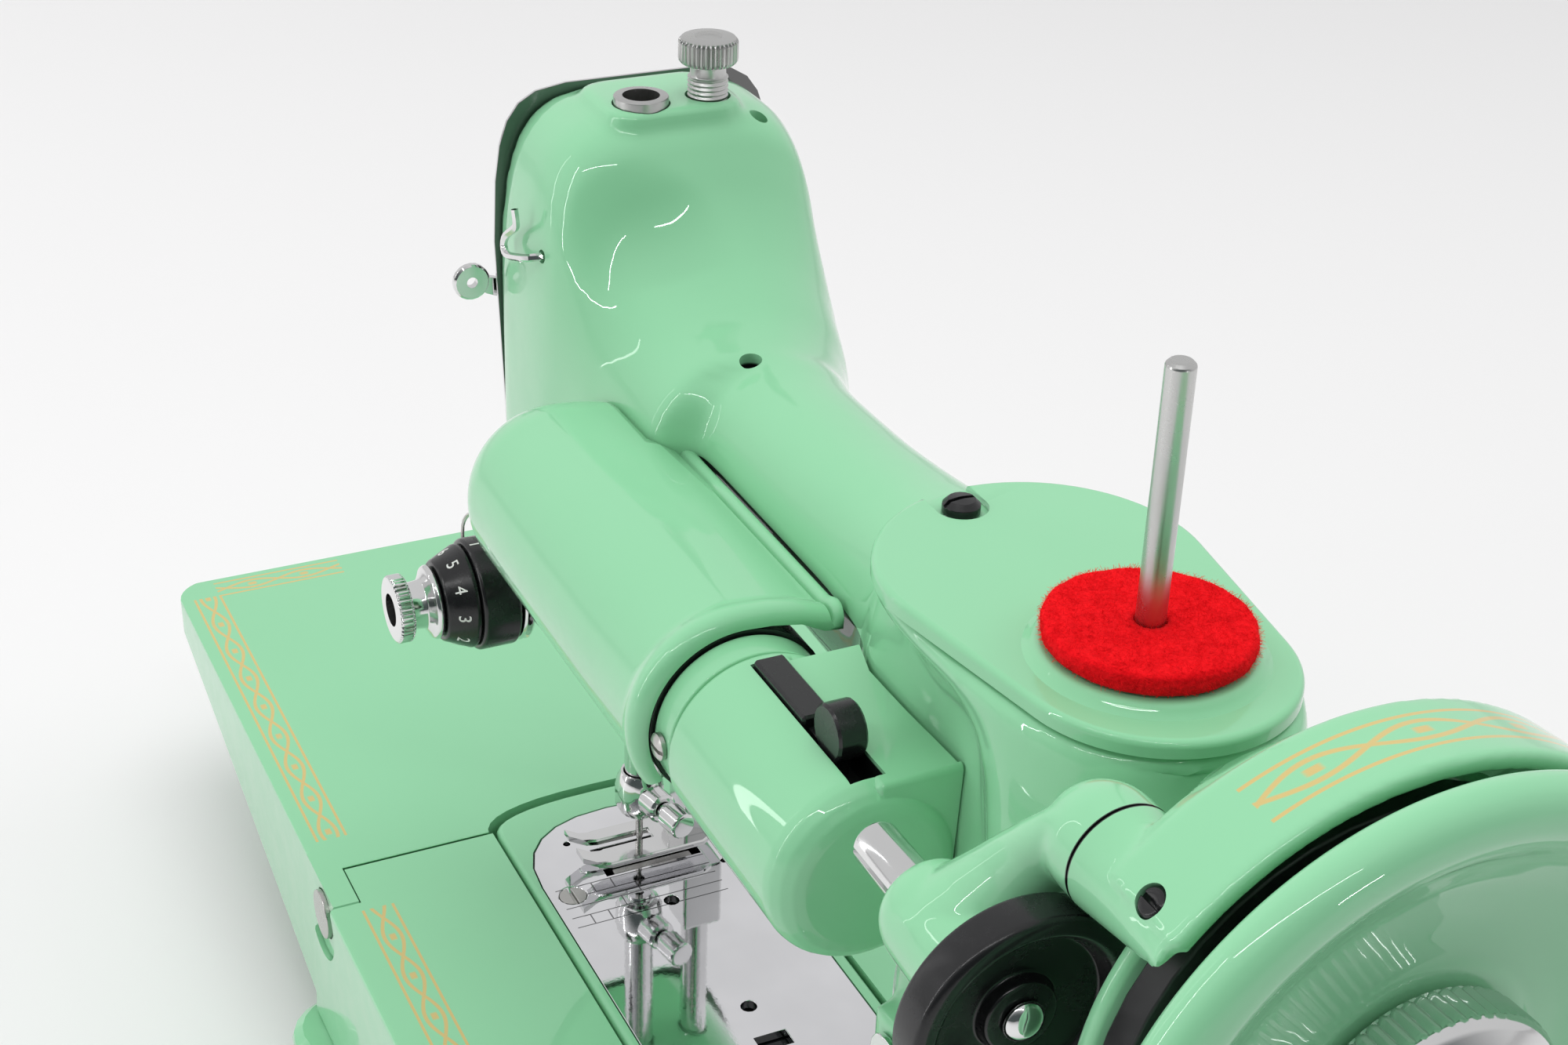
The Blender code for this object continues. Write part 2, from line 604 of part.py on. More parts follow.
# ---- fixed pieces on the casting ----------------------------------------------------------
def build_underside():
    base = extruded("base_plate", rounded(TRAY_LEFT + 5.0, BED_RIGHT - 9.0,
                                          FOOT_FRONT + FOOT_BOSS_R + 2.5,
                                          FOOT_BACK - FOOT_BOSS_R - 2.5, 10.0),
                    'XY', -BED_H, TRAY_BOTTOM_Z - GAP, MINT)
    top = TRAY_BOTTOM_Z - 0.2 - GAP
    low = -BED_H - FOOT_BELOW
    for tag, x, y in foot_places():
        turned("rubber_foot_" + tag, at(x, y, 0), 'Z',
               [(low, 0.0), (low, FOOT_R - 1.4), (low + 1.2, FOOT_R - 0.3), (top, FOOT_R),
                (top, 0.0)], RUBBER, 20)
    inner = ARM_BED_HALF - ARM_BED_WALL - GAP
    box("free_arm_cover", (-23.0 + GAP, BED_SPLIT), (-inner, inner),
        (-ARM_BED_DEPTH, -ARM_BED_DEPTH + ARM_COVER_T), MINT)
    return base


def slotted_screw(name, centre, axis, sign, head_r, head_t, shank_r, shank_l, mat):
    """Screw whose head starts at centre and grows along sign times axis."""
    s = sign
    profile = [(-s * shank_l, 0.0), (-s * shank_l, shank_r), (0.0, shank_r), (0.0, head_r),
               (s * head_t * 0.55, head_r), (s * head_t * 0.9, head_r * 0.72), (s * head_t, 0.0)]
    screw = turned(name, centre, axis, profile, mat, 16)
    along, out = AXES[axis]
    side = along.cross(out)
    mid = centre + along * (s * head_t)
    half = Vector([abs(a) * 0.5 + abs(b) * 0.35 + abs(c) * 30.0
                   for a, b, c in zip(along * head_t, out, side)])
    slot = box(name + "_slot", (mid.x - half.x, mid.x + half.x), (mid.y - half.y, mid.y + half.y),
               (mid.z - half.z - BED_H, mid.z + half.z - BED_H))
    cut(screw, slot)
    return screw


def build_needle_plate():
    plate = extruded("needle_plate", plate_outline(), 'XY', -NP_T, 0.0, CHROME)
    cut(plate, rod("needle_hole", at(0, 0, 0), 'Z', -9.0, 9.0, NEEDLE_HOLE_R, CHROME, 14))
    for tag, x in (("left", -3.7), ("right", 3.7)):
        cut(plate, box("feed_gap_" + tag, (x - 1.3, x + 1.3), (-9.5, 12.5), (-9.0, 9.0)))
    for tag, x, y, r in (("near", 18.0, 0.0, 1.7), ("far", 55.6, 0.7, 1.7),
                         ("dot_a", -9.2, -13.3, 0.8), ("dot_b", 9.6, 15.9, 0.8)):
        cut(plate, rod("plate_hole_" + tag, at(x, y, 0), 'Z', -9.0, 9.0, r, CHROME, 12))
    cut(plate, box("plate_window", (64.7, 69.0), (-2.5, 4.4), (-9.0, 9.0)))
    cut(plate, turned("plate_countersink", at(8.4, -18.6, 0), 'Z',
                      [(-9.0, 0.0), (-9.0, 1.9), (-1.3, 1.9), (0.4, 3.6), (5.0, 3.6), (5.0, 0.0)],
                      CHROME, 16))
    screw = turned("needle_plate_screw", at(8.4, -18.6, 0), 'Z',
                   [(-7.0, 0.0), (-7.0, 1.5), (-1.5, 1.5), (-0.05, 3.0), (-0.05, 0.0)], STEEL, 20)
    cut(screw, box("needle_plate_screw_slot", (5.0, 12.0), (-18.95, -18.25), (-0.8, 2.0)))
    return plate


def face_ring(x, inset):
    return arm_ring(x, -22.2 + inset, 36.4 - inset, HEAD_LOW_Z - 0.4 + inset,
                    HEAD_TOP_Z + 0.3 - inset, 6.0, 0.44)


def build_face():
    flange = HEAD_LEFT - GAP
    rings = [face_ring(flange - 4.9, 6.6), face_ring(flange, 5.8), face_ring(flange, 0.0),
             face_ring(flange - 0.8, 0.0), face_ring(flange - 0.8, 4.8),
             face_ring(flange - 5.2, 5.6), face_ring(flange - 5.9, 7.0)]
    plate = loft("face_plate", rings, CHROME)
    cut(plate, box("lever_window", (flange - 4.4, flange - 1.0), (-30.0, -10.0), (84.0, 152.0)))
    cut(plate, rod("face_screw_way", at(0, FACE_SCREW_Y, FACE_SCREW_Z), 'X', -40.0, 0.0, 2.0, CHROME, 14))
    slotted_screw("face_plate_screw", at(flange - 6.2, FACE_SCREW_Y, FACE_SCREW_Z), 'X', -1, 3.6,
                  2.2, 1.5, 14.0, CHROME)
    return plate


def build_cover():
    low = PILLAR_TOP_Z + GAP
    top = low + COVER_T
    cover = extruded("top_cover", cover_outline(), 'XY', low, top, MINT, 0.8, 2)
    ring = turned("felt_ring_form", at(SPOOL_X, 0, 0), 'Z',
                  [(low + 0.5, 0.0), (low + 0.5, 16.2), (top + 0.9, 15.6), (top + 1.6, 14.4),
                   (top + 1.6, 0.0)], MINT, 32)
    join(cover, ring)
    cut(cover, rod("pin_way", at(SPOOL_X, 0, 0), 'Z', low - 5, top + 9, 2.1 + GAP, MINT, 16),
        rod("screw_way", at(129.2, -3.0, 0), 'Z', low - 5, top + 9, 1.9, MINT, 14),
        rod("screw_seat", at(129.2, -3.0, 0), 'Z', top - 1.1, top + 9, 4.1, MINT, 20),
        box("screw_notch", (118.0, 129.2), (-7.1, 1.1), (top - 1.1, top + 9)))
    slotted_screw("top_cover_screw", at(129.2, -3.0, top - 1.1 + GAP), 'Z', 1, 2.9, 2.3, 1.5, 8.0,
                  BLACK)
    rod("spool_pin", at(SPOOL_X, 0, 0), 'Z', PILLAR_TOP_Z - 9.0, 194.0, 2.05, CHROME, 20, 0.6)
    felt_low = top + 1.6 + GAP
    turned("spool_felt", at(SPOOL_X, 0, 0), 'Z',
           [(felt_low, 2.5), (felt_low, 13.9), (felt_low + 1.5, 14.3), (felt_low + 3.2, 14.0),
            (felt_low + 3.2, 2.5)], FELT, 30)


def build_head_fittings():
    tube("needle_bar_bushing", at(0, 0, 0), 'Z', 153.0, PAD_TOP_Z + 1.5, NBAR_R + GAP, 5.15)
    guide = smooth_path([at(3.4, -19.5, 144.4), at(3.0, -23.4, 144.3), at(-1.6, -24.3, 142.8),
                         at(-7.6, -24.1, 141.0), at(-9.8, -23.9, 142.0), at(-8.6, -23.8, 144.4),
                         at(-3.6, -23.8, 147.8), at(-2.2, -24.0, 149.6), at(-2.4, -24.2, 152.0)])
    hook = wire("thread_hook", guide, 0.75)
    return hook


def thread_hook_bore():
    return rod("thread_hook_bore", at(3.4, 0, 144.4), 'Y', -30.0, -17.5, 1.3, MINT, 12)


# ---- tension unit -------------------------------------------------------------------------
def build_tension():
    centre = at(0, 0, TEN_Z)
    bore = TEN_STUD_R + GAP
    turned("tension_stud", centre, 'Y',
           [(-11.0, 0.0), (-11.0, TEN_STUD_R), (-18.8, TEN_STUD_R), (-18.8, 4.6), (-25.6, 4.2),
            (-25.6, TEN_STUD_R), (-48.0, TEN_STUD_R), (-48.0, 0.0)], BLACK, 20)
    turned("tension_discs", centre, 'Y',
           [(-25.9, bore), (-26.3, 10.4), (-26.9, 10.9), (-27.3, 8.4), (-27.7, 8.4), (-28.0, 10.9),
            (-28.6, 10.4), (-28.8, bore)], CHROME, 24)
    turned("tension_drum", centre, 'Y',
           [(-29.1, bore), (-29.1, TEN_R - 0.5), (-29.6, TEN_R), (-36.4, TEN_R),
            (-36.9, TEN_R - 0.5), (-36.9, bore)], BLACK, 26)
    turned("tension_dial", centre, 'Y',
           [(-37.2, bore), (-37.2, TEN_R - 0.9), (-38.0, TEN_R - 0.8), (-43.0, TEN_R - 3.1),
            (-43.3, TEN_R - 3.5), (-43.3, bore)], BLACK, 26)
    turned("tension_nut", centre, 'Y',
           [(-43.6, bore), (-43.6, 7.0), (-44.3, 7.5), (-45.0, 7.1), (-45.3, 6.4), (-46.2, 4.9),
            (-49.0, 4.6), (-49.3, 6.4), (-49.7, 6.8), (-52.0, 6.8), (-52.4, 6.3),
            (-52.4, bore)], CHROME, 24)
    spring = smooth_path([at(-11.7, -33.4, 72.4), at(-13.9, -32.8, 75.6), at(-15.4, -32.2, 80.4),
                          at(-12.2, -32.0, 84.4), at(-7.8, -31.8, 86.8), at(-2.0, -31.6, 86.4)])
    wire("check_spring", spring, 0.4, STEEL)


# ---- bars, needle and foot ----------------------------------------------------------------
def turn_about_needle(obj, degrees):
    obj.data.transform(Matrix.Rotation(math.radians(degrees), 4, 'Z'))


def build_bars():
    rod("needle_bar", at(0, 0, 0), 'Z', NBAR_LOW_Z, NBAR_TOP_Z, NBAR_R, CHROME, 20, 0.4)
    bore = NBAR_R + GAP
    clamp = turned("needle_clamp", at(0, 0, 0), 'Z',
                   [(10.6, 1.1), (10.6, 2.6), (11.6, 2.8), (12.2, 4.4), (14.0, 5.2), (18.0, 5.3),
                    (20.6, 4.7), (22.0, bore + 0.5), (22.0, bore), (NBAR_LOW_Z - GAP, bore),
                    (NBAR_LOW_Z - GAP, 1.1)], CHROME, 18)
    ear = rod("clamp_ear", at(0, 0, 17.0), 'X', 3.9, 9.4, 3.3, CHROME, 14, 0.5)
    join(clamp, ear)
    thread = rod("clamp_thread", at(0, 0, 17.0), 'X', 3.0, 20.0, 1.5, CHROME, 12)
    cut(clamp, thread)
    thumb = turned("needle_clamp_screw", at(0, 0, 17.0), 'X',
           [(5.0, 0.0), (5.0, 1.2), (9.7, 1.2), (9.7, 2.0), (11.0, 2.1), (11.4, 2.9), (16.6, 2.9),
            (17.0, 2.5), (17.2, 0.0)], CHROME, 16)
    for piece in (ear, thread, thumb):
        turn_about_needle(piece, THUMB_TURN)
    turned("needle", at(0, 0, 0), 'Z',
           [(NEEDLE_TIP_Z, 0.0), (NEEDLE_TIP_Z + 3.0, 0.42), (3.5, 0.48), (5.0, 0.8), (11.4, 0.8),
            (11.4, 0.0)], STEEL, 12)

    rod("presser_bar", at(0, PRESS_Y, 0), 'Z', PBAR_LOW_Z, PBAR_TOP_Z, PBAR_R, CHROME, 20, 0.4)
    sole = FOOT_LIFT
    fork = [(-5.6, -9.0), (-5.0, -11.6), (-3.6, -12.6), (-2.2, -11.6), (-1.5, -9.0), (-1.5, 2.4),
            (1.5, 2.4), (1.5, -9.0), (2.2, -12.0), (4.2, -13.0), (6.4, -12.0), (7.4, -9.0),
            (7.4, 12.0), (5.6, 15.0), (-5.6, 15.0)]
    foot = extruded("presser_foot", fork, 'XY', sole, sole + 1.5, CHROME, 0.35, 1)
    ankle = box("foot_ankle", (-4.6, 4.6), (PRESS_Y - 4.6, PRESS_Y + 4.6), (sole + 0.8, 21.0),
                CHROME, 0.8, 2)
    join(foot, ankle)
    for tag, x0, x1 in (("left", -5.0, -2.2), ("right", 2.2, 6.4)):
        toe = loft("toe_" + tag, [[at(x0, y, z), at(x1, y, z), at(x1, y, z + 1.3),
                                   at(x0, y, z + 1.3)]
                                  for y, z in ((-9.0, sole + 0.1), (-12.2, sole + 0.7),
                                               (-15.4, sole + 2.6))], CHROME)
        join(foot, toe)
    cut(foot, rod("foot_socket", at(0, PRESS_Y, 0), 'Z', PBAR_LOW_Z - GAP, 30.0, PBAR_R + GAP,
                  CHROME, 20),
        rod("foot_thread", at(0, PRESS_Y, 15.0), 'X', -20.0, -2.0, 1.5, CHROME, 12))
    turned("presser_foot_screw", at(0, PRESS_Y, 15.0), 'X',
           [(-3.6, 0.0), (-3.6, 1.2), (-4.9, 1.2), (-4.9, 2.4), (-6.0, 2.4), (-6.4, 3.8),
            (-10.4, 3.8), (-10.8, 3.3), (-10.8, 0.0)], CHROME, 18)

    turned("pressure_screw", at(0, PRESS_Y, 0), 'Z',
           [(PBAR_TOP_Z + 5.0, 0.0), (PBAR_TOP_Z + 5.0, 3.9), (PAD_TOP_Z + 3.6, 3.9),
            (PAD_TOP_Z + 3.9, 3.4), (PAD_TOP_Z + 6.0, 3.4), (PAD_TOP_Z + 6.3, 5.1),
            (PAD_TOP_Z + 6.9, 5.6), (PAD_TOP_Z + 10.4, 5.6), (PAD_TOP_Z + 11.1, 5.0),
            (PAD_TOP_Z + 11.3, 2.6), (PAD_TOP_Z + 10.9, 2.2), (PAD_TOP_Z + 10.9, 0.0)], CHROME, 20)

    lift = turned("presser_lifter", at(LIFTER_X, 0, LIFTER_Z), 'Y',
                  [(27.5, 0.0), (27.5, 2.5), (35.5, 2.5), (35.5, 5.6), (38.6, 5.6), (38.6, 0.0)],
                  CHROME, 20)
    handle = extruded("lifter_handle", circle_hull((LIFTER_X, LIFTER_Z, 4.2),
                                                   (LIFTER_X + 25.0, LIFTER_Z - 7.0, 4.6)),
                      'XZ', 36.2, 38.2, CHROME)
    join(lift, handle)

    lever = extruded("take_up_lever", circle_hull((TAKE_Y, TAKE_Z, 4.4),
                                                  (TAKE_EYE_Y + 3.6, TAKE_EYE_Z - 1.2, 1.7)),
                     'YZ', HEAD_LEFT - 3.5, HEAD_LEFT - 2.0, CHROME)
    eye = turned("take_up_eye", at(0, TAKE_EYE_Y, TAKE_EYE_Z), 'X',
                 [(HEAD_LEFT - 3.6, 1.1), (HEAD_LEFT - 3.6, 3.3), (HEAD_LEFT - 3.2, 3.7),
                  (HEAD_LEFT - 2.3, 3.7), (HEAD_LEFT - 1.9, 3.3), (HEAD_LEFT - 1.9, 1.1)],
                 CHROME, 20)
    pivot = rod("take_up_pivot", at(0, TAKE_Y, TAKE_Z), 'X', HEAD_LEFT - 2.6, -9.0, 2.5, CHROME, 20)
    join(lever, pivot, eye)
    cut(lever, rod("eye_way", at(0, TAKE_EYE_Y, TAKE_EYE_Z), 'X', -40.0, 0.0, 1.05, CHROME, 14))


# ---- lamp ---------------------------------------------------------------------------------
def shade_section(x, shrink=0.0, lip=0.0):
    """Open hood section: a bead at the back, a flat top, a round front, open below."""
    outer_r = SHADE_R - shrink + lip
    inner_r = SHADE_R - SHADE_T - shrink
    top = LAMP_Z + outer_r
    flat = LAMP_Z + inner_r
    low = 213.0
    outer = [(SHADE_BACK, top - 4.6), (SHADE_BACK + 0.1, top - 3.4),
             (SHADE_BACK - 0.7, top - 3.6 + SHADE_BEAD), (SHADE_BACK - 2.0, top - 3.6 + SHADE_BEAD),
             (SHADE_BACK - 3.0, top - 3.2), (SHADE_BACK - 5.0, top - 2.4), (-21.0, top - 1.1),
             (-26.0, top - 0.2)]
    outer += arc(LAMP_Y, LAMP_Z, outer_r, 88.0, low, 10)
    inner = arc(LAMP_Y, LAMP_Z, inner_r, low, 86.0, 10)
    inner += [(-26.0, flat - 0.2), (-21.0, flat - 1.1), (SHADE_BACK - 5.0, flat - 2.4),
              (SHADE_BACK, flat - 3.4)]
    return [at(x, y, z) for y, z in outer + inner]


def dome_section(x, shrink):
    """Closed section of the shade's left end, whose top and front fall in together."""
    r = SHADE_R - shrink
    top = LAMP_Z + r
    outline = [(SHADE_BACK, LAMP_Z - 3.0), (SHADE_BACK, top - 3.4), (-21.0, top - 1.1),
               (-26.0, top - 0.2)]
    outline += arc(LAMP_Y, LAMP_Z, r, 88.0, 213.0, 10)
    return [at(x, y, z) for y, z in outline]


def build_lamp(arm_clear, pillar_clear):
    dome_end = SHADE_LEFT + SHADE_DOME
    stations = [(dome_end - 5.0, 0.9, 0.0), (dome_end, 0.0, 0.0), (SHADE_RIGHT - 6.8, 0.0, 0.0)]
    for out, lip in ((5.2, 0.35), (3.8, 0.85), (2.3, 1.0), (1.0, 0.6), (0.25, -0.3), (0.0, -1.1)):
        stations.append((SHADE_RIGHT - out, 0.0, lip))
    shade = loft("lamp_shade", [shade_section(*s) for s in stations], MINT)
    cap_rings = []
    for turn in (20.0, 36.0, 52.0, 66.0, 78.0):
        x = dome_end - SHADE_DOME * math.cos(math.radians(turn))
        cap_rings.append(dome_section(x, SHADE_R * (1.0 - math.sin(math.radians(turn))) * 0.8))
    join(shade, loft("shade_end", cap_rings, MINT))
    cut(shade, arm_clear)

    centre = at(0, LAMP_Y, LAMP_Z)
    collar = tube("lamp_collar", centre, 'X', SHADE_RIGHT - 8.0, SHADE_RIGHT - 0.5, 8.0,
                  SHADE_R - SHADE_T - GAP, BLACK, 32)
    cut(collar, arm_clear)
    left = SHADE_RIGHT - 0.5 + GAP
    neck_r = SOCKET_R - 0.8
    right = SOCKET_RIGHT
    socket = turned("lamp_socket", centre, 'X',
                    [(left, 0.0), (left, neck_r), (left + 6.5, neck_r), (left + 7.1, SOCKET_R),
                     (right - 5.0, SOCKET_R), (right - 2.6, SOCKET_R - 0.7),
                     (right - 0.9, SOCKET_R - 2.4), (right, SOCKET_R - 5.0), (right, 0.0)],
                    MINT, 32)
    block = box("socket_block", (SHADE_RIGHT + 9.2, right - 0.9), (LAMP_Y + 0.4, -12.0),
                (LAMP_Z - 11.0, LAMP_Z + SOCKET_R - 0.12), MINT, 1.1, 2)
    join(socket, block)
    gap_wide = 2.75
    slot = box("switch_slot", (SHADE_RIGHT + 8.6, right - 3.4), (LAMP_Y - gap_wide, LAMP_Y + gap_wide),
               (LAMP_Z + 9.5, LAMP_Z + 30.0))
    bulb_way = rod("bulb_way", centre, 'X', left - 2.0, left + 17.0, 8.0, MINT, 24)
    cut(socket, slot, bulb_way, arm_clear, pillar_clear)
    slotted_screw("lamp_ring_screw", centre + Vector((left + 3.0, -(neck_r + 0.1), 0)), 'Y', -1,
                  2.2, 1.2, 1.1, 2.4, STEEL)
    cut(socket, rod("ring_screw_way", centre + Vector((left + 3.0, 0, 0)), 'Y', -30.0, -9.0, 1.4,
                    MINT, 12))
    turned("lamp_bulb", centre, 'X',
           [(58.0, 0.0), (59.0, 4.6), (62.0, 7.8), (67.0, 9.6), (73.0, 10.0), (79.0, 9.4),
            (88.0, 7.6), (94.0, 7.2), (124.0, 7.2), (124.0, 0.0)], GLASS, 16)
    bar = box("lamp_switch", (SHADE_RIGHT + 9.0, SHADE_RIGHT + 26.0),
              (LAMP_Y - gap_wide + GAP, LAMP_Y + gap_wide - GAP),
              (LAMP_Z + 9.9, LAMP_Z + SOCKET_R + 0.9), BLACK, 0.4, 1)
    neck = box("switch_neck", (SHADE_RIGHT + 24.0, SHADE_RIGHT + 33.0), (LAMP_Y - 1.6, LAMP_Y + 1.6),
               (LAMP_Z + 9.9, LAMP_Z + SOCKET_R - 1.0), BLACK)
    wheel = turned("switch_disc", at(SHADE_RIGHT + 33.0, LAMP_Y, LAMP_Z + SOCKET_R + 2.6), 'Y',
                   [(-2.3, 0.0), (-2.3, 3.9), (-1.9, 4.3), (1.9, 4.3), (2.3, 3.9), (2.3, 0.0)],
                   BLACK, 20)
    join(bar, neck, wheel)


# ---- handwheel, guard, winder, motor --------------------------------------------------------
def build_drive():
    centre = at(0, 0, SHAFT_Z)
    bore = SHAFT_R + GAP
    wl = WHEEL_LEFT
    turned("handwheel", centre, 'X',
           [(wl, bore), (wl, WHEEL_HUB_R), (213.4, WHEEL_HUB_R), (216.0, 21.0),
            (217.2, FLANGE_R), (219.4, FLANGE_R),
            (GROOVE_X - BELT_W / 2 - 0.1, GROOVE_R), (GROOVE_X + BELT_W / 2 + 0.1, GROOVE_R),
            (227.6, FLANGE_R), (231.4, FLANGE_R + 0.6), (233.0, FLANGE_R + 3.0),
            (234.2, RIM_R - 1.9), (235.4, RIM_R - 0.4), (237.2, RIM_R), (239.4, RIM_R - 0.7),
            (240.8, RIM_R - 2.7), (241.0, RIM_R - 5.3), (239.6, RIM_R - 8.1),
            (236.6, RIM_R - 11.3), (234.2, RIM_R - 16.3), (233.2, 24.0), (233.4, 19.4),
            (234.0, 17.8), (234.0, bore)], MINT, 34)
    turned("arm_shaft", centre, 'X',
           [(4.8, 0.0), (4.8, 11.4), (7.6, 11.4), (7.6, SHAFT_R), (231.6, SHAFT_R), (231.6, 0.0)],
           STEEL, 20)
    turned("stop_motion_knob", centre, 'X',
           [(234.3, 0.0), (234.3, 15.4), (235.6, 17.0), (240.6, 17.2), (242.4, 16.4), (244.0, 13.6),
            (244.6, 9.6), (244.2, 6.0), (243.6, 0.0)], CHROME, 30)

    # belt over wheel groove and motor pulley
    my, mz = MOTOR_Y, MOTOR_Z - SHAFT_Z
    span = math.hypot(my, mz)
    heading = math.degrees(math.atan2(mz, my))

    def belt_loop(extra, steps):
        big = GROOVE_R + GAP + extra
        small = PULLEY_R + GAP + extra
        lean = math.degrees(math.acos((big - small) / span))
        loop = arc(0.0, 0.0, big, heading + lean, heading + 360 - lean, steps)
        loop += arc(my, mz, small, heading - lean, heading + lean, steps // 2)
        return loop

    inner = belt_loop(0.0, 24)
    outer = belt_loop(BELT_T, 24)
    bx0 = GROOVE_X - BELT_W / 2
    bx1 = GROOVE_X + BELT_W / 2
    rings = [[at(bx0, i[0], i[1] + SHAFT_Z), at(bx1, i[0], i[1] + SHAFT_Z),
              at(bx1, o[0], o[1] + SHAFT_Z), at(bx0, o[0], o[1] + SHAFT_Z)]
             for i, o in zip(inner, outer)]
    loft("drive_belt", rings, RUBBER, closed=True)

    turned("motor_pulley", at(0, MOTOR_Y, MOTOR_Z), 'X',
           [(185.0, 0.0), (185.0, 3.0), (215.0, 3.0), (216.0, 5.0), (219.0, 5.0), (219.4, 9.4),
            (GROOVE_X - BELT_W / 2 - 0.1, PULLEY_R), (GROOVE_X + BELT_W / 2 + 0.1, PULLEY_R),
            (227.6, 9.4), (229.0, 9.0), (229.0, 0.0)], STEEL, 18)
    left = MOTOR_LEFT
    right = MOTOR_RIGHT
    r = MOTOR_R
    motor = turned("motor_housing", at(0, MOTOR_Y, MOTOR_Z), 'X',
                   [(left, 0.0), (left, r * 0.55), (left + 3.0, r * 0.8), (left + 9.0, r * 0.96),
                    (left + 16.0, r), (right - 14.0, r), (right - 13.4, r + 0.7),
                    (right - 9.0, r + 0.7), (right - 8.4, r * 0.97), (right - 3.0, r * 0.8),
                    (right, r * 0.5), (right, 0.0)], BLACK, 22)
    foot = box("motor_foot", (152.0, 184.0), (MOTOR_Y - MOTOR_R - MOTOR_STANDOFF + GAP, MOTOR_Y - 14.0),
               (MOTOR_Z - 14.0, MOTOR_Z + 14.0), BLACK, 1.2, 2)
    join(motor, foot)
    cut(motor, rod("motor_bore", at(0, MOTOR_Y, MOTOR_Z), 'X', 184.0, 240.0, 3.0 + GAP, BLACK, 20))


def guard_section(angle, share):
    """Guard section at an angle from +Y. Share 0 keeps the bearing web, 1 is the bare band."""
    skirt = WHEEL_LEFT + 10.4
    shoulder = skirt + 2.6
    web = [(WHEEL_LEFT - 0.1, 20.5), (WHEEL_LEFT + 2.3, 20.5), (WHEEL_LEFT + 2.3, GUARD_R - 14.8),
           (shoulder + 0.5, GUARD_R - GUARD_T - 1.0), (GUARD_RIGHT, GUARD_R - GUARD_T),
           (GUARD_RIGHT, GUARD_R), (shoulder, GUARD_R - 1.0), (WHEEL_LEFT - 0.1, GUARD_R - 13.6)]
    band = [(skirt, GUARD_R - 5.0), (skirt + 1.0, GUARD_R - 5.0), (skirt + 1.6, GUARD_R - 4.3),
            (shoulder + 0.5, GUARD_R - GUARD_T - 1.0), (GUARD_RIGHT, GUARD_R - GUARD_T),
            (GUARD_RIGHT, GUARD_R), (shoulder, GUARD_R - 1.0), (skirt, GUARD_R - 2.6)]
    c = math.cos(math.radians(angle))
    s = math.sin(math.radians(angle))
    ring = []
    for (x0, r0), (x1, r1) in zip(web, band):
        x = x0 + (x1 - x0) * share
        r = r0 + (r1 - r0) * share
        ring.append(at(x, r * c, SHAFT_Z + r * s))
    return ring


def guard_lug():
    """The winder's bearing: round at its left face, then thinning out into the band."""
    turn = math.radians(LUG_ANGLE)
    length = GUARD_RIGHT - 1.0 - LUG_LEFT
    rings = []
    for share, shrink in ((0.0, 0.9), (0.045, 0.0), (0.3, 0.0), (0.55, 0.0), (0.8, 0.0), (1.0, 0.0)):
        r = GUARD_R - LUG_INSET + (LUG_INSET - 1.25) * share ** 1.3
        deep = LUG_R_WINDER + (1.0 - LUG_R_WINDER) * share - shrink
        wide = LUG_R_WINDER - 2.5 * share - shrink
        ring = []
        for i in range(24):
            u, v = power_point(math.tau * (i + 0.5) / 24, deep, wide, 2.0)
            ring.append(at(LUG_LEFT + length * share, (r + u) * math.cos(turn) - v * math.sin(turn),
                           SHAFT_Z + (r + u) * math.sin(turn) + v * math.cos(turn)))
        rings.append(ring)
    return loft("guard_lug", rings, MINT)


def build_guard():
    stations = [(18.0 + 6.0 * i, 0.0) for i in range(16)]
    stations += [(113.0, 0.35), (118.0, 0.75), (123.0, 1.0)]
    stations += [(123.0 + (GUARD_END - 123.0) * i / 3, 1.0) for i in (1, 2, 3)]
    guard = loft("belt_guard", [guard_section(a, s) for a, s in stations], MINT)
    join(guard, guard_lug())
    way_left = GROOVE_X - 7.3
    cut(guard, rod("wheel_way", at(0, 0, SHAFT_Z), 'X', way_left, GUARD_RIGHT + 1.5,
                   FLANGE_R + 1.6, MINT, 48),
        rod("lug_bore", at(0, LUG_Y, LUG_Z), 'X', LUG_LEFT - 5.0, way_left + 0.5, 2.3, MINT, 16),
        rod("lug_screw_way", at(LUG_LEFT + 14.8, LUG_Y - 4.2, LUG_Z), 'Z', 2.4, 20.0, 2.3, MINT, 14))


def winder_web():
    """The sloping neck of the winder casting, from the spindle boss up to the knuckle."""
    heading = math.atan2(LUG_Z - WIND_Z, LUG_Y - WIND_Y)
    rings = []
    for share, x, half_x, half_across in ((0.0, 192.2, 9.0, 7.0), (0.35, 194.6, 7.6, 5.4),
                                          (0.7, 197.6, 5.8, 5.2), (1.0, 205.0, 4.2, 6.4)):
        y = WIND_Y + (LUG_Y - WIND_Y) * share
        z = WIND_Z + (LUG_Z - WIND_Z) * share
        ring = []
        for i in range(16):
            u, v = power_point(math.tau * (i + 0.5) / 16, half_x, half_across, 2.5)
            ring.append(at(x + u, y - v * math.sin(heading), z + v * math.cos(heading)))
        rings.append(ring)
    return loft("winder_neck", rings, MINT)


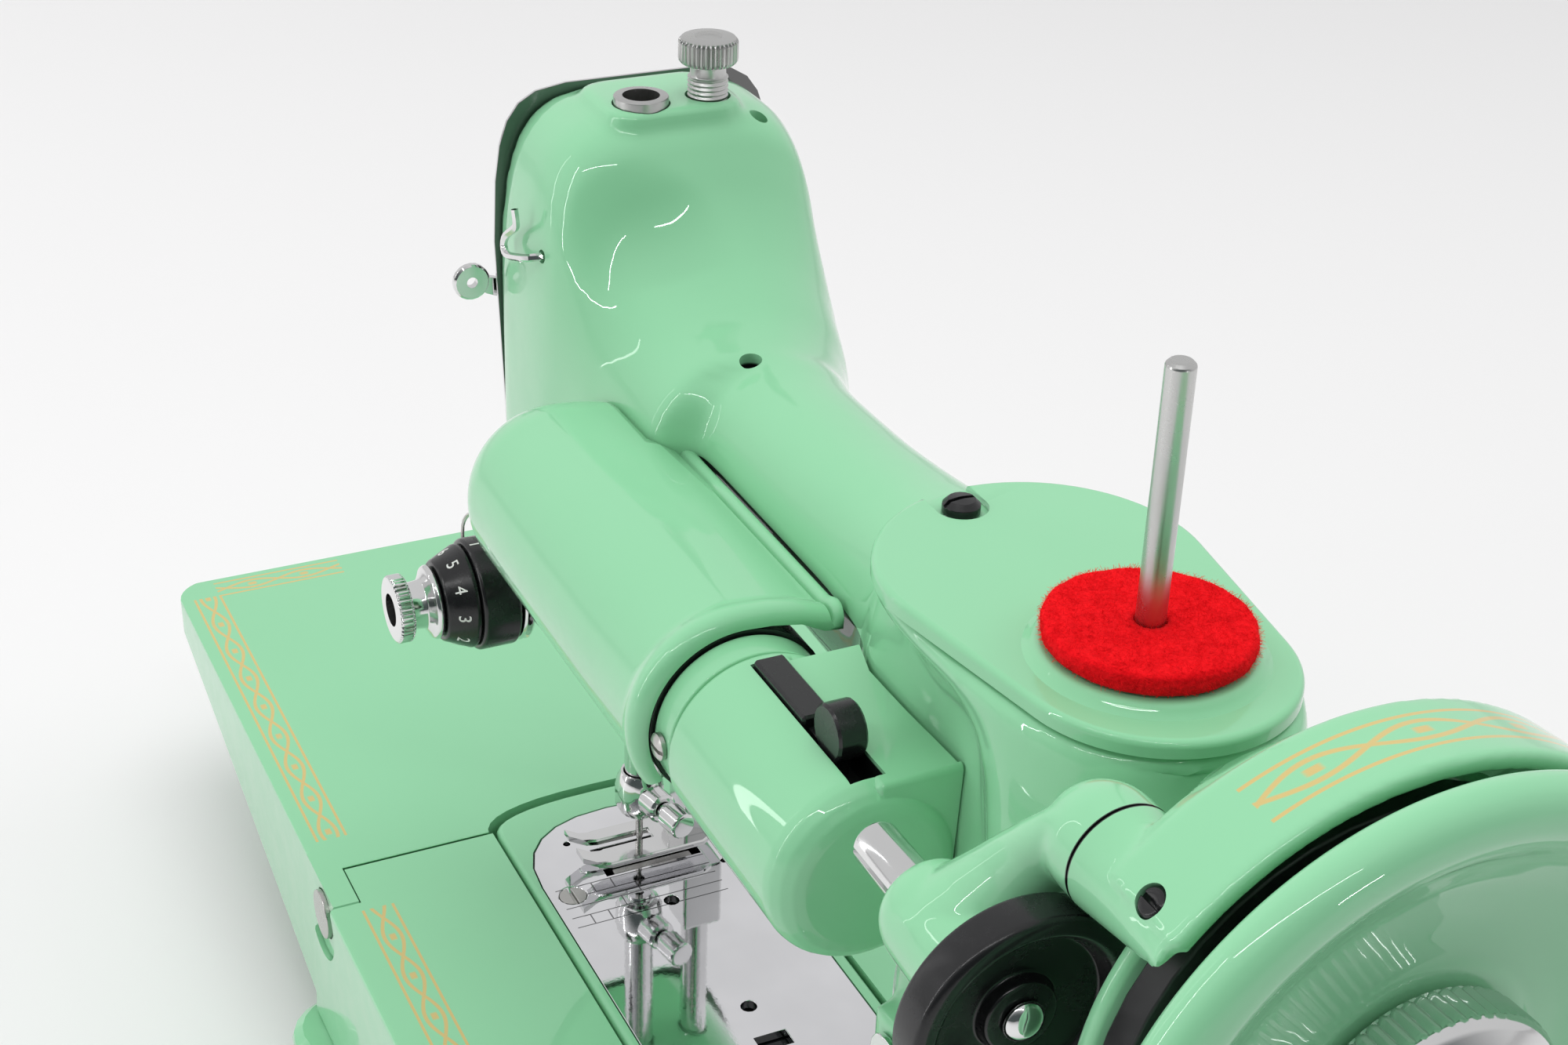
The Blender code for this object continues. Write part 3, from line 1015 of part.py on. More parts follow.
def build_winder():
    frame = rod("winder_frame", at(0, LUG_Y, LUG_Z), 'X', 200.6, LUG_LEFT - GAP, LUG_R_WINDER,
                MINT, 24, 1.6)
    boss = turned("winder_boss", at(0, WIND_Y, WIND_Z), 'X',
                  [(183.2, 0.0), (183.2, 5.4), (184.0, 6.9), (186.4, 8.0), (202.0, 8.4),
                   (203.4, 7.4), (203.4, 0.0)], MINT, 24)
    pin = rod("winder_pin", at(0, LUG_Y, LUG_Z), 'X', 205.0, LUG_LEFT + 5.4, 2.0, MINT, 16)
    join(frame, winder_web(), boss, pin)
    cut(frame, rod("winder_bore", at(0, WIND_Y, WIND_Z), 'X', 150.0, 240.0, 2.4 + GAP, MINT, 20))
    spindle = turned("winder_spindle", at(0, WIND_Y, WIND_Z), 'X',
                     [(170.4, 0.0), (170.4, SPINDLE_R - 0.5), (171.0, SPINDLE_R),
                      (182.8, SPINDLE_R), (182.8, 2.4), (209.2, 2.4), (209.2, 3.4), (210.4, 3.0),
                      (211.0, 0.0)], CHROME, 20)
    cut(spindle, box("spindle_split", (160.0, 181.0), (WIND_Y - 5.0, WIND_Y + 5.0),
                     (WIND_Z - 0.4, WIND_Z + 0.4)))
    turned("winder_pulley", at(0, WIND_Y, WIND_Z), 'X',
           [(204.0, 2.7), (204.0, TYRE_R - 4.2), (204.6, TYRE_R - 2.2), (204.8, TYRE_R - 0.8),
            (205.4, TYRE_R), (210.4, TYRE_R), (211.0, TYRE_R - 0.8), (211.0, TYRE_R - 2.4),
            (210.2, TYRE_R - 3.4), (207.6, TYRE_R - 4.4), (207.0, 5.4), (208.9, 5.0),
            (208.9, 2.7)], RUBBER, 25)


# ---- stitch length lever and power inlet ----------------------------------------------------
def build_stitch():
    plate = extruded("stitch_plate", rounded(STITCH_X - 11.0, STITCH_X + 11.0, STITCH_Z - 22.0,
                                             STITCH_Z + 22.0, 4.0, 4),
                     'XZ', STITCH_FACE_Y - GAP - 1.0, STITCH_FACE_Y - GAP, CHROME)
    cut(plate, box("stitch_window", (STITCH_X - 1.9, STITCH_X + 1.9), (-40.0, 0.0),
                   (STITCH_Z - 10.0, STITCH_Z + 10.0)))
    lever = box("stitch_lever", (STITCH_X - 1.2, STITCH_X + 1.2), (-41.0, -6.0),
                (STITCH_Z - 1.6, STITCH_Z + 1.6), CHROME, 0.3, 1)
    hub = rod("stitch_hub", at(0, -8.0, STITCH_Z), 'X', STITCH_X - 4.5, STITCH_X + 4.5, 1.6,
              CHROME, 16)
    knob = turned("stitch_knob", at(STITCH_X, 0, STITCH_Z), 'Y',
                  [(-45.6, 0.0), (-45.6, 2.4), (-45.0, 3.4), (-41.6, 3.6), (-40.4, 2.6),
                   (-40.4, 0.0)], CHROME, 20)
    join(lever, hub, knob)


def stitch_cuts():
    way = box("stitch_way", (STITCH_X - 1.9, STITCH_X + 1.9), (-40.0, -2.0),
              (STITCH_Z - 12.0, STITCH_Z + 12.0))
    pin = rod("stitch_pin_way", at(0, -8.0, STITCH_Z), 'X', STITCH_X - 5.0, STITCH_X + 5.0, 1.9,
              MINT, 16)
    return way, pin


def build_inlet():
    x0 = BED_RIGHT + GAP
    body = box("power_inlet", (x0, x0 + 9.0), (44.0, 74.0), (-32.0, -12.0), BLACK, 1.2, 2)
    cut(body, box("inlet_pocket", (x0 + 2.5, x0 + 20.0), (46.5, 71.5), (-29.5, -14.5)))
    for tag, y in (("a", 51.0), ("b", 59.0), ("c", 67.0)):
        join(body, rod("inlet_pin_" + tag, at(0, y, -22.0), 'X', x0 + 1.5, x0 + 8.0, 1.6, BLACK, 12))


# ---- hook, bobbin case and feed -------------------------------------------------------------
def build_hook():
    centre = at(0, 0, HOOK_Z)
    turned("hook_and_shaft", centre, 'X',
           [(-13.0, 0.0), (-13.0, HOOK_R - 1.0), (-12.0, HOOK_R), (-3.4, HOOK_R),
            (-1.8, HOOK_R - 1.6), (-1.8, HOOK_SHAFT_R), (BED_SPLIT - 4.0, HOOK_SHAFT_R),
            (BED_SPLIT - 4.0, 0.0)], STEEL, 22)
    turned("bobbin_case", centre, 'X',
           [(-22.4, 0.0), (-22.4, 9.4), (-21.6, 10.2), (-13.3, 10.2), (-13.3, 0.0)], STEEL, 20)
    feed = box("feed_dog", (-5.2, 52.0), (3.0, 9.5), (-8.2, -5.4), STEEL)
    for tag, x in (("left", -3.7), ("right", 3.7)):
        join(feed, box("feed_finger_" + tag, (x - 0.9, x + 0.9), (-7.5, 10.5), (-7.6, -0.35)))


# ---- bed extension and leaf -----------------------------------------------------------------
def side_profile():
    """Left end of the extension in XZ: round joint about the hinge, then a slant to the foot."""
    r = RULE_R - GAP
    first = math.degrees(math.atan2(-HINGE_Z, -math.sqrt(r * r - HINGE_Z * HINGE_Z)))
    round_part = arc(HINGE_X, HINGE_Z, r, first, 214.0, 7)
    foot = (-25.6, TRAY_TOP_Z + GAP)
    return round_part + [(round_part[-1][0], round_part[-1][1] - 3.0), foot]


def build_extension():
    low = TRAY_TOP_Z + GAP
    outline = [(BED_SPLIT - GAP, low), (BED_SPLIT - GAP, 0.0)] + side_profile()
    ext = extruded("bed_extension", outline, 'XZ', BED_FRONT, BED_BACK, MINT, 0.9, 2)
    half = ARM_BED_HALF + SEAM
    web_top = -ARM_BED_DEPTH - 1.0
    way = box("arm_way", (-60.0, BED_SPLIT + 20.0), (-half, half), (web_top, 20.0))
    under = box("web_way", (14.0, BED_SPLIT + 20.0), (-half, half), (-60.0, 20.0))
    cut(ext, way, under)
    for tag, y0, y1 in (("front", BED_FRONT + BED_WALL, -half - BED_WALL),
                        ("back", half + BED_WALL, BED_BACK - BED_WALL)):
        cut(ext, box("ext_room_" + tag, (-4.0, BED_SPLIT - GAP - BED_WALL), (y0, y1),
                     (-60.0, -BED_WALL)))
    for tag, y0, y1 in (("front", BED_FRONT - 5.0, LEAF_FRONT + LUG_W + GAP),
                        ("back", LEAF_BACK - LUG_W - GAP, BED_BACK + 5.0)):
        cut(ext, rod("lug_way_" + tag, at(HINGE_X, 0, HINGE_Z), 'Y', y0, y1, LUG_R + 0.5, MINT, 40))
    for tag, y0, y1 in (("front", -64.0, -50.0), ("back", 80.0, 95.0)):
        cut(ext, rod("pin_way_" + tag, at(HINGE_X, 0, HINGE_Z), 'Y', y0, y1, PIN_R + GAP, MINT, 16))
    for tag, head, tip in (("front", BED_FRONT, -52.0), ("back", BED_BACK, 82.0)):
        s = 1 if tag == "front" else -1
        turned("leaf_pin_" + tag, at(HINGE_X, 0, HINGE_Z), 'Y',
               [(head, 0.0), (head, PIN_HEAD_R), (head + s * PIN_HEAD_T, PIN_HEAD_R),
                (head + s * PIN_HEAD_T, PIN_R), (tip, PIN_R), (tip, 0.0)], STEEL, 20)
    return ext


def build_leaf():
    r = RULE_R
    first = math.degrees(math.atan2(-HINGE_Z, -math.sqrt(r * r - HINGE_Z * HINGE_Z)))
    joint = arc(HINGE_X, HINGE_Z, r, first, 214.0, 7)
    root = [(joint[-1][0] - 0.6, joint[-1][1] - 3.0), (-26.6, -LEAF_ROOT_T)]
    tip = [(LEAF_END + 3.0, -LEAF_TIP_T - 1.0), (LEAF_END, -LEAF_TIP_T + 2.0), (LEAF_END, 0.0)]
    leaf = extruded("bed_leaf", joint + root + tip, 'XZ', LEAF_FRONT, LEAF_BACK, MINT, 0.8, 2)
    for tag, cy, turn in (("front", LEAF_FRONT + LEAF_CORNER, 180.0),
                          ("back", LEAF_BACK - LEAF_CORNER, 90.0)):
        corner = arc(LEAF_END + LEAF_CORNER, cy, LEAF_CORNER, turn, turn + 90.0, 8)
        far = (LEAF_END - 20.0, cy + (-40.0 if tag == "front" else 40.0))
        if tag == "front":
            outline = [(LEAF_END - 20.0, cy)] + corner + [(LEAF_END + LEAF_CORNER, far[1]), far]
        else:
            outline = corner + [(LEAF_END - 20.0, cy), far, (LEAF_END + LEAF_CORNER, far[1])]
        cut(leaf, extruded("leaf_corner_" + tag, outline, 'XY', -60.0, 20.0, MINT))
    cut(leaf, extruded("nose_way", free_arm_outline(NOSE_SEAM), 'XY', -60.0, 20.0, MINT))
    w = LEAF_WALL
    for tag, y0, y1, x1 in (("front", LEAF_FRONT + w, -30.0, -31.0), ("mid", -26.0, 26.0, -38.0),
                            ("back", 30.0, LEAF_BACK - w, -31.0)):
        room = [(LEAF_END + 16.0, -w), (x1, -w), (x1, -60.0), (LEAF_END + 16.0, -60.0)]
        cut(leaf, extruded("leaf_room_" + tag, room, 'XZ', y0, y1, MINT))
    for tag, y0, y1 in (("front", LEAF_FRONT, LEAF_FRONT + LUG_W),
                        ("back", LEAF_BACK - LUG_W, LEAF_BACK)):
        start = math.degrees(math.asin(-HINGE_Z / LUG_R))
        lug = arc(HINGE_X, HINGE_Z, LUG_R, start, -142.0, 12)
        lug += [(HINGE_X - 13.0, lug[-1][1]), (HINGE_X - 13.0, 0.0)]
        join(leaf, extruded("leaf_lug_" + tag, lug, 'XZ', y0, y1, MINT))
        s = 1 if tag == "front" else -1
        face = LEAF_FRONT if tag == "front" else LEAF_BACK
        end = BED_FRONT if tag == "front" else BED_BACK
        seat = turned("pin_seat_" + tag, at(HINGE_X, 0, HINGE_Z), 'Y',
                      [(face - s * 9.0, 0.0), (face - s * 9.0, PIN_HEAD_R + GAP),
                       (end + s * (PIN_HEAD_T + GAP), PIN_HEAD_R + GAP),
                       (end + s * (PIN_HEAD_T + GAP), PIN_R + GAP),
                       (face + s * 20.0, PIN_R + GAP), (face + s * 20.0, 0.0)], MINT, 20)
        cut(leaf, seat)
    return leaf


def grown(sections, amount):
    return [(x, f - amount, b + amount, lo - amount, hi + amount, p, toe)
            for x, f, b, lo, hi, p, toe in sections]


def pivot(names, point):
    """Puts the origin of each named piece on the axis it moves about."""
    for name in names:
        obj = bpy.data.objects[name]
        obj.data.transform(Matrix.Translation(-point * MM))
        obj.location = point * MM


def main():
    build_casting()
    build_underside()
    build_needle_plate()
    build_face()
    build_cover()
    build_head_fittings()
    build_tension()
    build_bars()
    arm_clear = loft("arm_clearance", [arm_ring(*s) for s in grown(arm_sections(), GAP)], MINT)
    pillar_clear = loft("pillar_clearance",
                        [pillar_ring(z, left - GAP, right + GAP, a + GAP, b + GAP, p, niche)
                         for z, left, right, a, b, p, niche in pillar_levels()], MINT)
    build_lamp(arm_clear, pillar_clear)
    build_drive()
    build_guard()
    build_winder()
    build_stitch()
    build_inlet()
    build_hook()
    build_extension()
    build_leaf()

    pivot(["bed_extension", "leaf_pin_front", "leaf_pin_back"], at(0, 0, -20.0))
    pivot(["bed_leaf"], at(HINGE_X, 0, HINGE_Z))
    pivot(["handwheel", "arm_shaft", "stop_motion_knob"], at(WHEEL_LEFT, 0, SHAFT_Z))
    pivot(["motor_pulley"], at(GROOVE_X, MOTOR_Y, MOTOR_Z))
    pivot(["needle_bar", "needle_clamp", "needle_clamp_screw", "needle"], at(0, 0, NBAR_LOW_Z))
    pivot(["presser_bar", "presser_foot", "presser_foot_screw", "pressure_screw"],
          at(0, PRESS_Y, PBAR_LOW_Z))
    pivot(["presser_lifter"], at(LIFTER_X, 0, LIFTER_Z))
    pivot(["take_up_lever"], at(0, TAKE_Y, TAKE_Z))
    pivot(["tension_dial", "tension_nut", "check_spring"], at(0, -40.0, TEN_Z))
    pivot(["winder_frame"], at(200.0, LUG_Y, LUG_Z))
    pivot(["winder_spindle", "winder_pulley"], at(200.0, WIND_Y, WIND_Z))
    pivot(["stitch_lever"], at(STITCH_X, -8.0, STITCH_Z))
    pivot(["lamp_switch"], at(SHADE_RIGHT, LAMP_Y, LAMP_Z))
    pivot(["hook_and_shaft"], at(0, 0, HOOK_Z))
    pivot(["feed_dog"], at(0, 0, -6.0))


main()
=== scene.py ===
# %% [markdown]
# # Mint-green sewing machine: the looks
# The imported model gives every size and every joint. This script dresses it: paint, chrome,
# rubber and felt, finer versions of the pieces whose facets would show, ornament, numbers and
# engraved lines, and a plain pale studio. Everything is in metres, in the model's own frame.

# %% load the frame
import json
import random
from math import asin, atan2, copysign, cos, degrees, pi, radians, sin, tau

import bmesh
import bpy
from mathutils import Matrix, Vector, noise


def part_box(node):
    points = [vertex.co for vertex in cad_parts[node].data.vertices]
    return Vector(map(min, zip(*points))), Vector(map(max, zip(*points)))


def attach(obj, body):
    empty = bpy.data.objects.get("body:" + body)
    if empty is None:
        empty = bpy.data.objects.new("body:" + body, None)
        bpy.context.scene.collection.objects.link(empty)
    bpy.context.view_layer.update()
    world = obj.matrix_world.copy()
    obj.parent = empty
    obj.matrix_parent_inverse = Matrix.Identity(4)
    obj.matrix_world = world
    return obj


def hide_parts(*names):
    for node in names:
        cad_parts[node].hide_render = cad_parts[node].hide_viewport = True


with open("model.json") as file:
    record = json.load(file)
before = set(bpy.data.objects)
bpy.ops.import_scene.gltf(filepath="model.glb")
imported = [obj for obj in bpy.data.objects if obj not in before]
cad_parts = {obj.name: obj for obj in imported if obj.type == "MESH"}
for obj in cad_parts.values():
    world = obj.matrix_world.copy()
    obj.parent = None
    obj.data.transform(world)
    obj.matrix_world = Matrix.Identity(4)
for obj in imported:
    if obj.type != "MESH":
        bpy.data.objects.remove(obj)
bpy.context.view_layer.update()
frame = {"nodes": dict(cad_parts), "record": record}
NODES = frame["nodes"]

# %% [markdown]
# ## Places
# On the real machine everything is set out from the needle and the bed. Positions could be typed
# in metres from the frame's origin, but a maker would read them with difficulty. So they are
# written in millimetres from the needle, with heights counted from the bed top, and `at` turns
# them into the frame.

# %% places
MM = 0.001
BED_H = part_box("needle_plate")[1].z / MM
FLOOR_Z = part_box("rubber_foot_fl")[0].z
FACE_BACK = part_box("face_plate")[1].x / MM
SHAFT_Z = 124.6
PILLAR_TOP = 148.7
PAD_TOP = 170.4
STITCH_X = 171.0
SPOOL_X = 174.0
LAMP_Y = -30.0
LAMP_Z = 112.0
TEN_Z = 73.6
WIND_Y = -37.411
WIND_Z = 129.260
PRESS_Y = 13.4               # presser bar and pressure screw
LIFTER_X, LIFTER_Z = -4.0, 84.0
STITCH_Z = 66.0
OIL_HEAD, OIL_ARM, CAP_SCREW = (3.8, 22.2), (50.0, 0.0), (129.2, -3.0)
LUG_ANGLE = 136.0            # where the winder's bearing stands on the guard, in degrees
LUG_TURN = radians(LUG_ANGLE)
LUG_RADIUS, SCREW_RADIUS = 36.8, 41.1
LUG_Y = LUG_RADIUS * cos(LUG_TURN)
LUG_Z = SHAFT_Z + LUG_RADIUS * sin(LUG_TURN)
MINT_LIGHT = (0.262, 0.612, 0.352)
MINT_DEEP = (0.248, 0.592, 0.336)
GOLD = (0.60, 0.46, 0.17)
# near-black for painted shade in gaps, holes and recesses
PAINTED_SHADE_BLACK = (0.006, 0.007, 0.007)


def at(x, y, z):
    return Vector((x, y, z + BED_H)) * MM


SHAFT, SPOOL = at(0, 0, SHAFT_Z), at(SPOOL_X, 0, 0)
LAMP, TEN = at(0, LAMP_Y, LAMP_Z), at(0, 0, TEN_Z)
WIND, LUG = at(0, WIND_Y, WIND_Z), at(0, LUG_Y, LUG_Z)
print("bed top at", round(BED_H, 2), "mm, floor at", round(FLOOR_Z / MM, 2), "mm")

# %% [markdown]
# ## Shader kit
# Every finish is a small graph of nodes. Such a graph could be wired node by node, which is long
# to read. Here `Value` wraps a socket so that shader sums read like sums, with 1 - mask working
# as well as mask - 1, and `Paint` holds one material and makes all its nodes by one method.

# %% shader kit
class Value:
    """A socket of a shader graph that can be added, subtracted, multiplied and mapped."""

    def __init__(self, paint, socket):
        self.paint = paint
        self.socket = socket

    def math(self, operation, *others):
        return self.paint.node("Math", 0, (self, *others), operation=operation)

    def __add__(self, other):
        return self.math('ADD', other)

    def __sub__(self, other):
        return self.math('SUBTRACT', other)

    def __mul__(self, other):
        return self.math('MULTIPLY', other)

    def __rsub__(self, other):
        return self.paint.node("Math", 0, (other, self), operation='SUBTRACT')

    __radd__ = __add__
    __rmul__ = __mul__

    def range(self, low, high, out_low=0.0, out_high=1.0):
        """Maps low..high smoothly to the out values."""
        return self.paint.node("MapRange", 0, (self, low, high, out_low, out_high),
                               interpolation_type='SMOOTHSTEP')


class Paint:
    """A material with its Principled shader."""

    def __init__(self, name, color, rough, metal=0.0, **fixed):
        self.material = bpy.data.materials.new(name)
        self.material.use_nodes = True
        self.tree = self.material.node_tree
        self.shader = self.tree.nodes["Principled BSDF"]
        self.set("Base Color", (*color, 1.0))
        self.set("Roughness", rough)
        self.set("Metallic", metal)
        for socket, value in fixed.items():
            self.set(socket.replace("_", " "), value)

    def set(self, socket, value):
        self.feed(self.shader.inputs[socket], value)

    def feed(self, socket, value):
        if isinstance(value, Value):
            self.tree.links.new(value.socket, socket)
        else:
            socket.default_value = value

    def node(self, kind, out, inputs=(), named=(), **settings):
        made = self.tree.nodes.new("ShaderNode" + kind)
        for key, value in settings.items():
            setattr(made, key, value)
        for socket, value in zip(made.inputs, inputs):
            if value is not None:
                self.feed(socket, value)
        for key, value in dict(named).items():
            self.feed(made.inputs[key], value)
        return Value(self, made.outputs[out])

    def place(self):
        return self.node("TexCoord", "Object")

    def axes(self):
        """Object X, Y and Z in millimetres from the needle and the bed top."""
        split = self.node("SeparateXYZ", 0, (self.place(),))
        out = [Value(self, o) * 1000.0 for o in split.socket.node.outputs]
        out[2] = out[2] - BED_H
        return out

    def noise(self, scale, detail=3.0, rough=0.5):
        return self.node("TexNoise", "Fac", named={"Vector": self.place(), "Scale": scale,
                                                   "Detail": detail, "Roughness": rough})

    def blend(self, share, first, second):
        """Colour between first and second."""
        colors = [c if isinstance(c, Value) else (*c, 1.0) for c in (first, second)]
        return self.node("Mix", 2, (share, *[None] * 5, *colors), data_type='RGBA')

    def bump(self, height, strength, distance):
        self.set("Normal", self.node("Bump", 0, named={"Height": height, "Strength": strength,
                                                       "Distance": distance}))


print("shader kit ready")

# %% [markdown]
# ## Materials
# The enamel is thick, glossy and a little uneven. Chrome has faint smears, felt has fibres, and
# the bed carries gold borders. Image textures could hold all this, but they would need UV maps
# and would blur close up. Noise and sums over object X, Y and Z in millimetres stay sharp at any
# size, so lines, rings and borders are drawn that way. Dark masks are painted shade: they blacken
# deep gaps, holes and recesses where little light reaches.

# %% materials
def line(value, middle, half, soft=0.08):
    """1 where a value lies within half of the middle, with a soft edge."""
    away = (value - middle).math('ABSOLUTE')
    return away.range(half - soft, half + soft, 1.0, 0.0)


def either(*masks):
    total = masks[0]
    for mask in masks[1:]:
        total = total.math('MAXIMUM', mask)
    return total


def braid(along, across, half, pitch):
    """A plain border: two edge lines, a chain of rounded waves and a dot in every loop."""
    turn = along * (tau / pitch)
    wave = turn.math('SINE') * (half * 0.55)
    edge = line(across.math('ABSOLUTE'), half, 0.3)
    chain = either(line(across - wave, 0.0, 0.4, 0.15), line(across + wave, 0.0, 0.4, 0.15))
    beat = (turn * 2.0).math('COSINE') * -1.0
    dot = beat.range(0.8, 0.97) * line(across, 0.0, 0.65, 0.15)
    inside = across.math('ABSOLUTE').range(half + 0.4, half + 0.6, 1.0, 0.0)
    return either(edge, chain, dot) * inside


def window(value, low, high):
    """1 between two values."""
    return value.range(low - 0.1, low + 0.1) * value.range(high - 0.1, high + 0.1, 1.0, 0.0)


def distance(u, v, cu, cv):
    """Distance from the point (cu, cv)."""
    return ((u - cu) * (u - cu) + (v - cv) * (v - cv)).math('SQRT')


def enamel(name="mint_enamel", gold=None, shade_mask=None):
    paint = Paint(name, MINT_LIGHT, 0.36, Coat_Weight=1.0, Coat_Roughness=0.018,
                  Specular_IOR_Level=0.15)
    cloud = paint.noise(9.0, 2.0)
    base = paint.blend(cloud.range(0.3, 0.7), MINT_DEEP, MINT_LIGHT)
    if gold:
        mask = gold(*paint.axes()) * paint.noise(260.0, 3.0).range(0.24, 0.34, 0.72, 1.0)
        base = paint.blend(mask, base, GOLD)
    # painted shade: the mask blends the enamel towards black where gaps, holes and recesses lie in
    # shade
    if shade_mask:
        base = paint.blend(shade_mask(*paint.axes()), base, PAINTED_SHADE_BLACK)
    paint.set("Base Color", base)
    paint.set("Roughness", paint.noise(160.0, 5.0).range(0.3, 0.7, 0.34, 0.42))
    paint.bump(paint.noise(75.0, 2.0), 0.05, 0.0008)
    return paint.material


def slot_dark(x, y, z):
    """Painted shade inside the switch slot."""
    return window(x, 121.4, 154.9) * line(y, LAMP_Y, 2.95) * z.range(126.3, 126.6, 1.0, 0.0)


def behind_hood_dark(x, y, z):
    """Painted shade on the arm's side in the narrow gap behind the lamp hood."""
    return window(x, 52.0, 121.6) * y.range(-8.2, -8.0, 1.0, 0.0) * window(z, 104.0, 125.6)


def knuckle_dark(x, y, z):
    """Painted shade in the seam between the winder's knuckle and its bearing in the guard."""
    return line(x, 209.85, 0.3, 0.05) * distance(y, z, LUG_Y, LUG_Z).range(7.9, 8.2, 1.0, 0.0)


def under_plate_dark(x, y, z):
    """Painted shade below the needle plate, in the two oil holes and behind the lamp hood."""
    bed = window(x, -18.0, 79.0) * line(y, -0.3, 22.8) * z.range(-1.2, -1.0, 1.0, 0.0)
    arm, head = [distance(x, y, *place).range(2.1, 2.3, 1.0, 0.0) * z.range(low, high, 1.0, 0.0)
                 for place, low, high in ((OIL_ARM, 138.2, 138.8), (OIL_HEAD, 161.0, 162.4))]
    return either(bed, (arm + head) * z.range(100.0, 101.0), behind_hood_dark(x, y, z))


def leaf_gold(x, y, z):
    top = z.range(-1.0, -0.6)
    side = braid(x, y + 59.6, 3.2, 27.0) * window(x, -142.4, -31.0)
    end = braid(y, x + 145.4, 3.2, 27.0) * window(y, -56.5, -24.0)
    return either(side, end) * top


def tray_gold(x, y, z):
    return braid(x, y + 57.6, 3.2, 27.0) * window(x, -4.0, 118.0) * z.range(-1.0, -0.6)


def guard_gold(x, y, z):
    turn = (z - SHAFT_Z).math('ARCTAN2', y) * (180.0 / pi)
    return (braid(turn * 0.78, x - 223.6, 3.4, 30.0) * window(turn, 52.0, 116.0)
            * distance(z, y, SHAFT_Z, 0.0).range(43.2, 43.6))


def plated(name, color, rough, spread, grain=0.0, marks=None):
    paint = Paint(name, color, rough, 1.0)
    smear = paint.noise(90.0, 6.0, 0.6)
    shine = smear.range(0.3, 0.75, rough, rough + spread)
    tone = paint.blend(paint.noise(35.0, 3.0).range(0.3, 0.7), [c * 0.9 for c in color], color)
    relief = paint.noise(1500.0, 3.0) * 0.3 + smear * grain
    # the marks darken and sink the surface: engraved lines on the needle plate, painted shade on
    # the face plate's back
    if marks:
        cut = marks(*paint.axes())
        tone = paint.blend(cut, tone, [c * 0.2 for c in color])
        relief = relief - cut * 2.0
    paint.set("Base Color", tone)
    paint.set("Roughness", shine)
    paint.bump(relief, 0.05, 0.0002)
    return paint.material


def plate_marks(x, y, z):
    """Guide lines and ticks engraved on the needle plate."""
    lines = either(*[line(x, middle, 0.14, 0.08) for middle in (5.8, 9.1, 12.4, 15.8, 19.1)])
    ticks = either(*[line(y, middle, 0.14, 0.08) * line(x, across, 1.6, 0.1)
                     for middle, across in ((-13.6, 7.5), (-9.2, 14.1), (-9.2, 7.5), (-4.6, 10.8),
                                            (-17.6, 17.4), (-13.6, 17.4))])
    return either(lines * window(y, -21.6, 12.6), ticks) * z.range(-0.3, -0.1)


def plate_back(x, y, z):
    """Painted shade on the back of the pressed face plate, which faces the casting."""
    return x.range(FACE_BACK - 0.3, FACE_BACK - 0.15)


def plastic(name, color, rough, spread):
    paint = Paint(name, color, rough, Specular_IOR_Level=0.5)
    wear = paint.noise(240.0, 6.0, 0.65)
    paint.set("Roughness", wear.range(0.3, 0.7, rough, rough + spread))
    paint.set("Base Color", paint.blend(wear.range(0.45, 0.8), color, [c * 1.6 for c in color]))
    paint.bump(paint.noise(1800.0, 4.0), 0.06, 0.0002)
    return paint.material


def felt_cloth():
    paint = Paint("red_felt", (0.82, 0.004, 0.008), 0.95, Sheen_Weight=0.12, Sheen_Roughness=0.5,
                  Sheen_Tint=(1.0, 0.12, 0.1, 1.0), Specular_IOR_Level=0.1)
    fibre = paint.noise(1900.0, 6.0, 0.7)
    tuft = paint.noise(380.0, 4.0, 0.6)
    paint.set("Base Color", paint.blend((fibre * 0.6 + tuft * 0.4).range(0.32, 0.66),
                                        (0.66, 0.002, 0.006), (0.92, 0.008, 0.014)))
    paint.bump(fibre + tuft * 1.2, 0.35, 0.0008)
    return paint.material


def glass():
    paint = Paint("frosted_glass", (0.92, 0.90, 0.84), 0.35, Transmission_Weight=0.35)
    paint.bump(paint.noise(900.0, 3.0), 0.05, 0.0003)
    return paint.material


LOOKS = {
    "mint_paint": enamel(),
    "chrome": plated("chrome", (0.80, 0.80, 0.80), 0.06, 0.09),
    "satin": plated("satin_chrome", (0.60, 0.60, 0.59), 0.24, 0.12, 0.5),
    "steel": plated("steel", (0.58, 0.57, 0.55), 0.22, 0.16, 1.0),
    "black_plastic": plastic("black_plastic", (0.010, 0.010, 0.011), 0.16, 0.16),
    "rubber": plastic("rubber", (0.014, 0.014, 0.015), 0.30, 0.2),
    "tyre": plastic("tyre", (0.009, 0.009, 0.010), 0.17, 0.14),
    "felt": felt_cloth(),
    "frosted_glass": glass(),
}
SPECIAL = {
    "bed_leaf": enamel("mint_leaf", leaf_gold),
    "bed_extension": enamel("mint_extension", tray_gold),
    "needle_plate": plated("engraved_plate", (0.88, 0.88, 0.90), 0.025, 0.03, marks=plate_marks),
    "face_plate": plated("pressed_plate", (0.80, 0.80, 0.80), 0.06, 0.09, marks=plate_back),
    "lamp_socket": enamel("mint_housing", shade_mask=slot_dark),
    "winder_frame": enamel("mint_winder", shade_mask=knuckle_dark),
    "machine_body": enamel("mint_casting", shade_mask=under_plate_dark),
}
GUARD_LOOK = enamel("mint_guard", guard_gold, knuckle_dark)
WHITE_MARK = plastic("white_mark", (0.72, 0.72, 0.70), 0.4, 0.2)
SLOT_OF = {}
for name, node in NODES.items():
    for slot in node.material_slots:
        SLOT_OF[name] = slot.material.name.split(".")[0]
        slot.material = SPECIAL.get(name, LOOKS[SLOT_OF[name]])
NODES["spool_pin"].material_slots[0].material = LOOKS["satin"]
print("materials:", ", ".join(LOOKS))

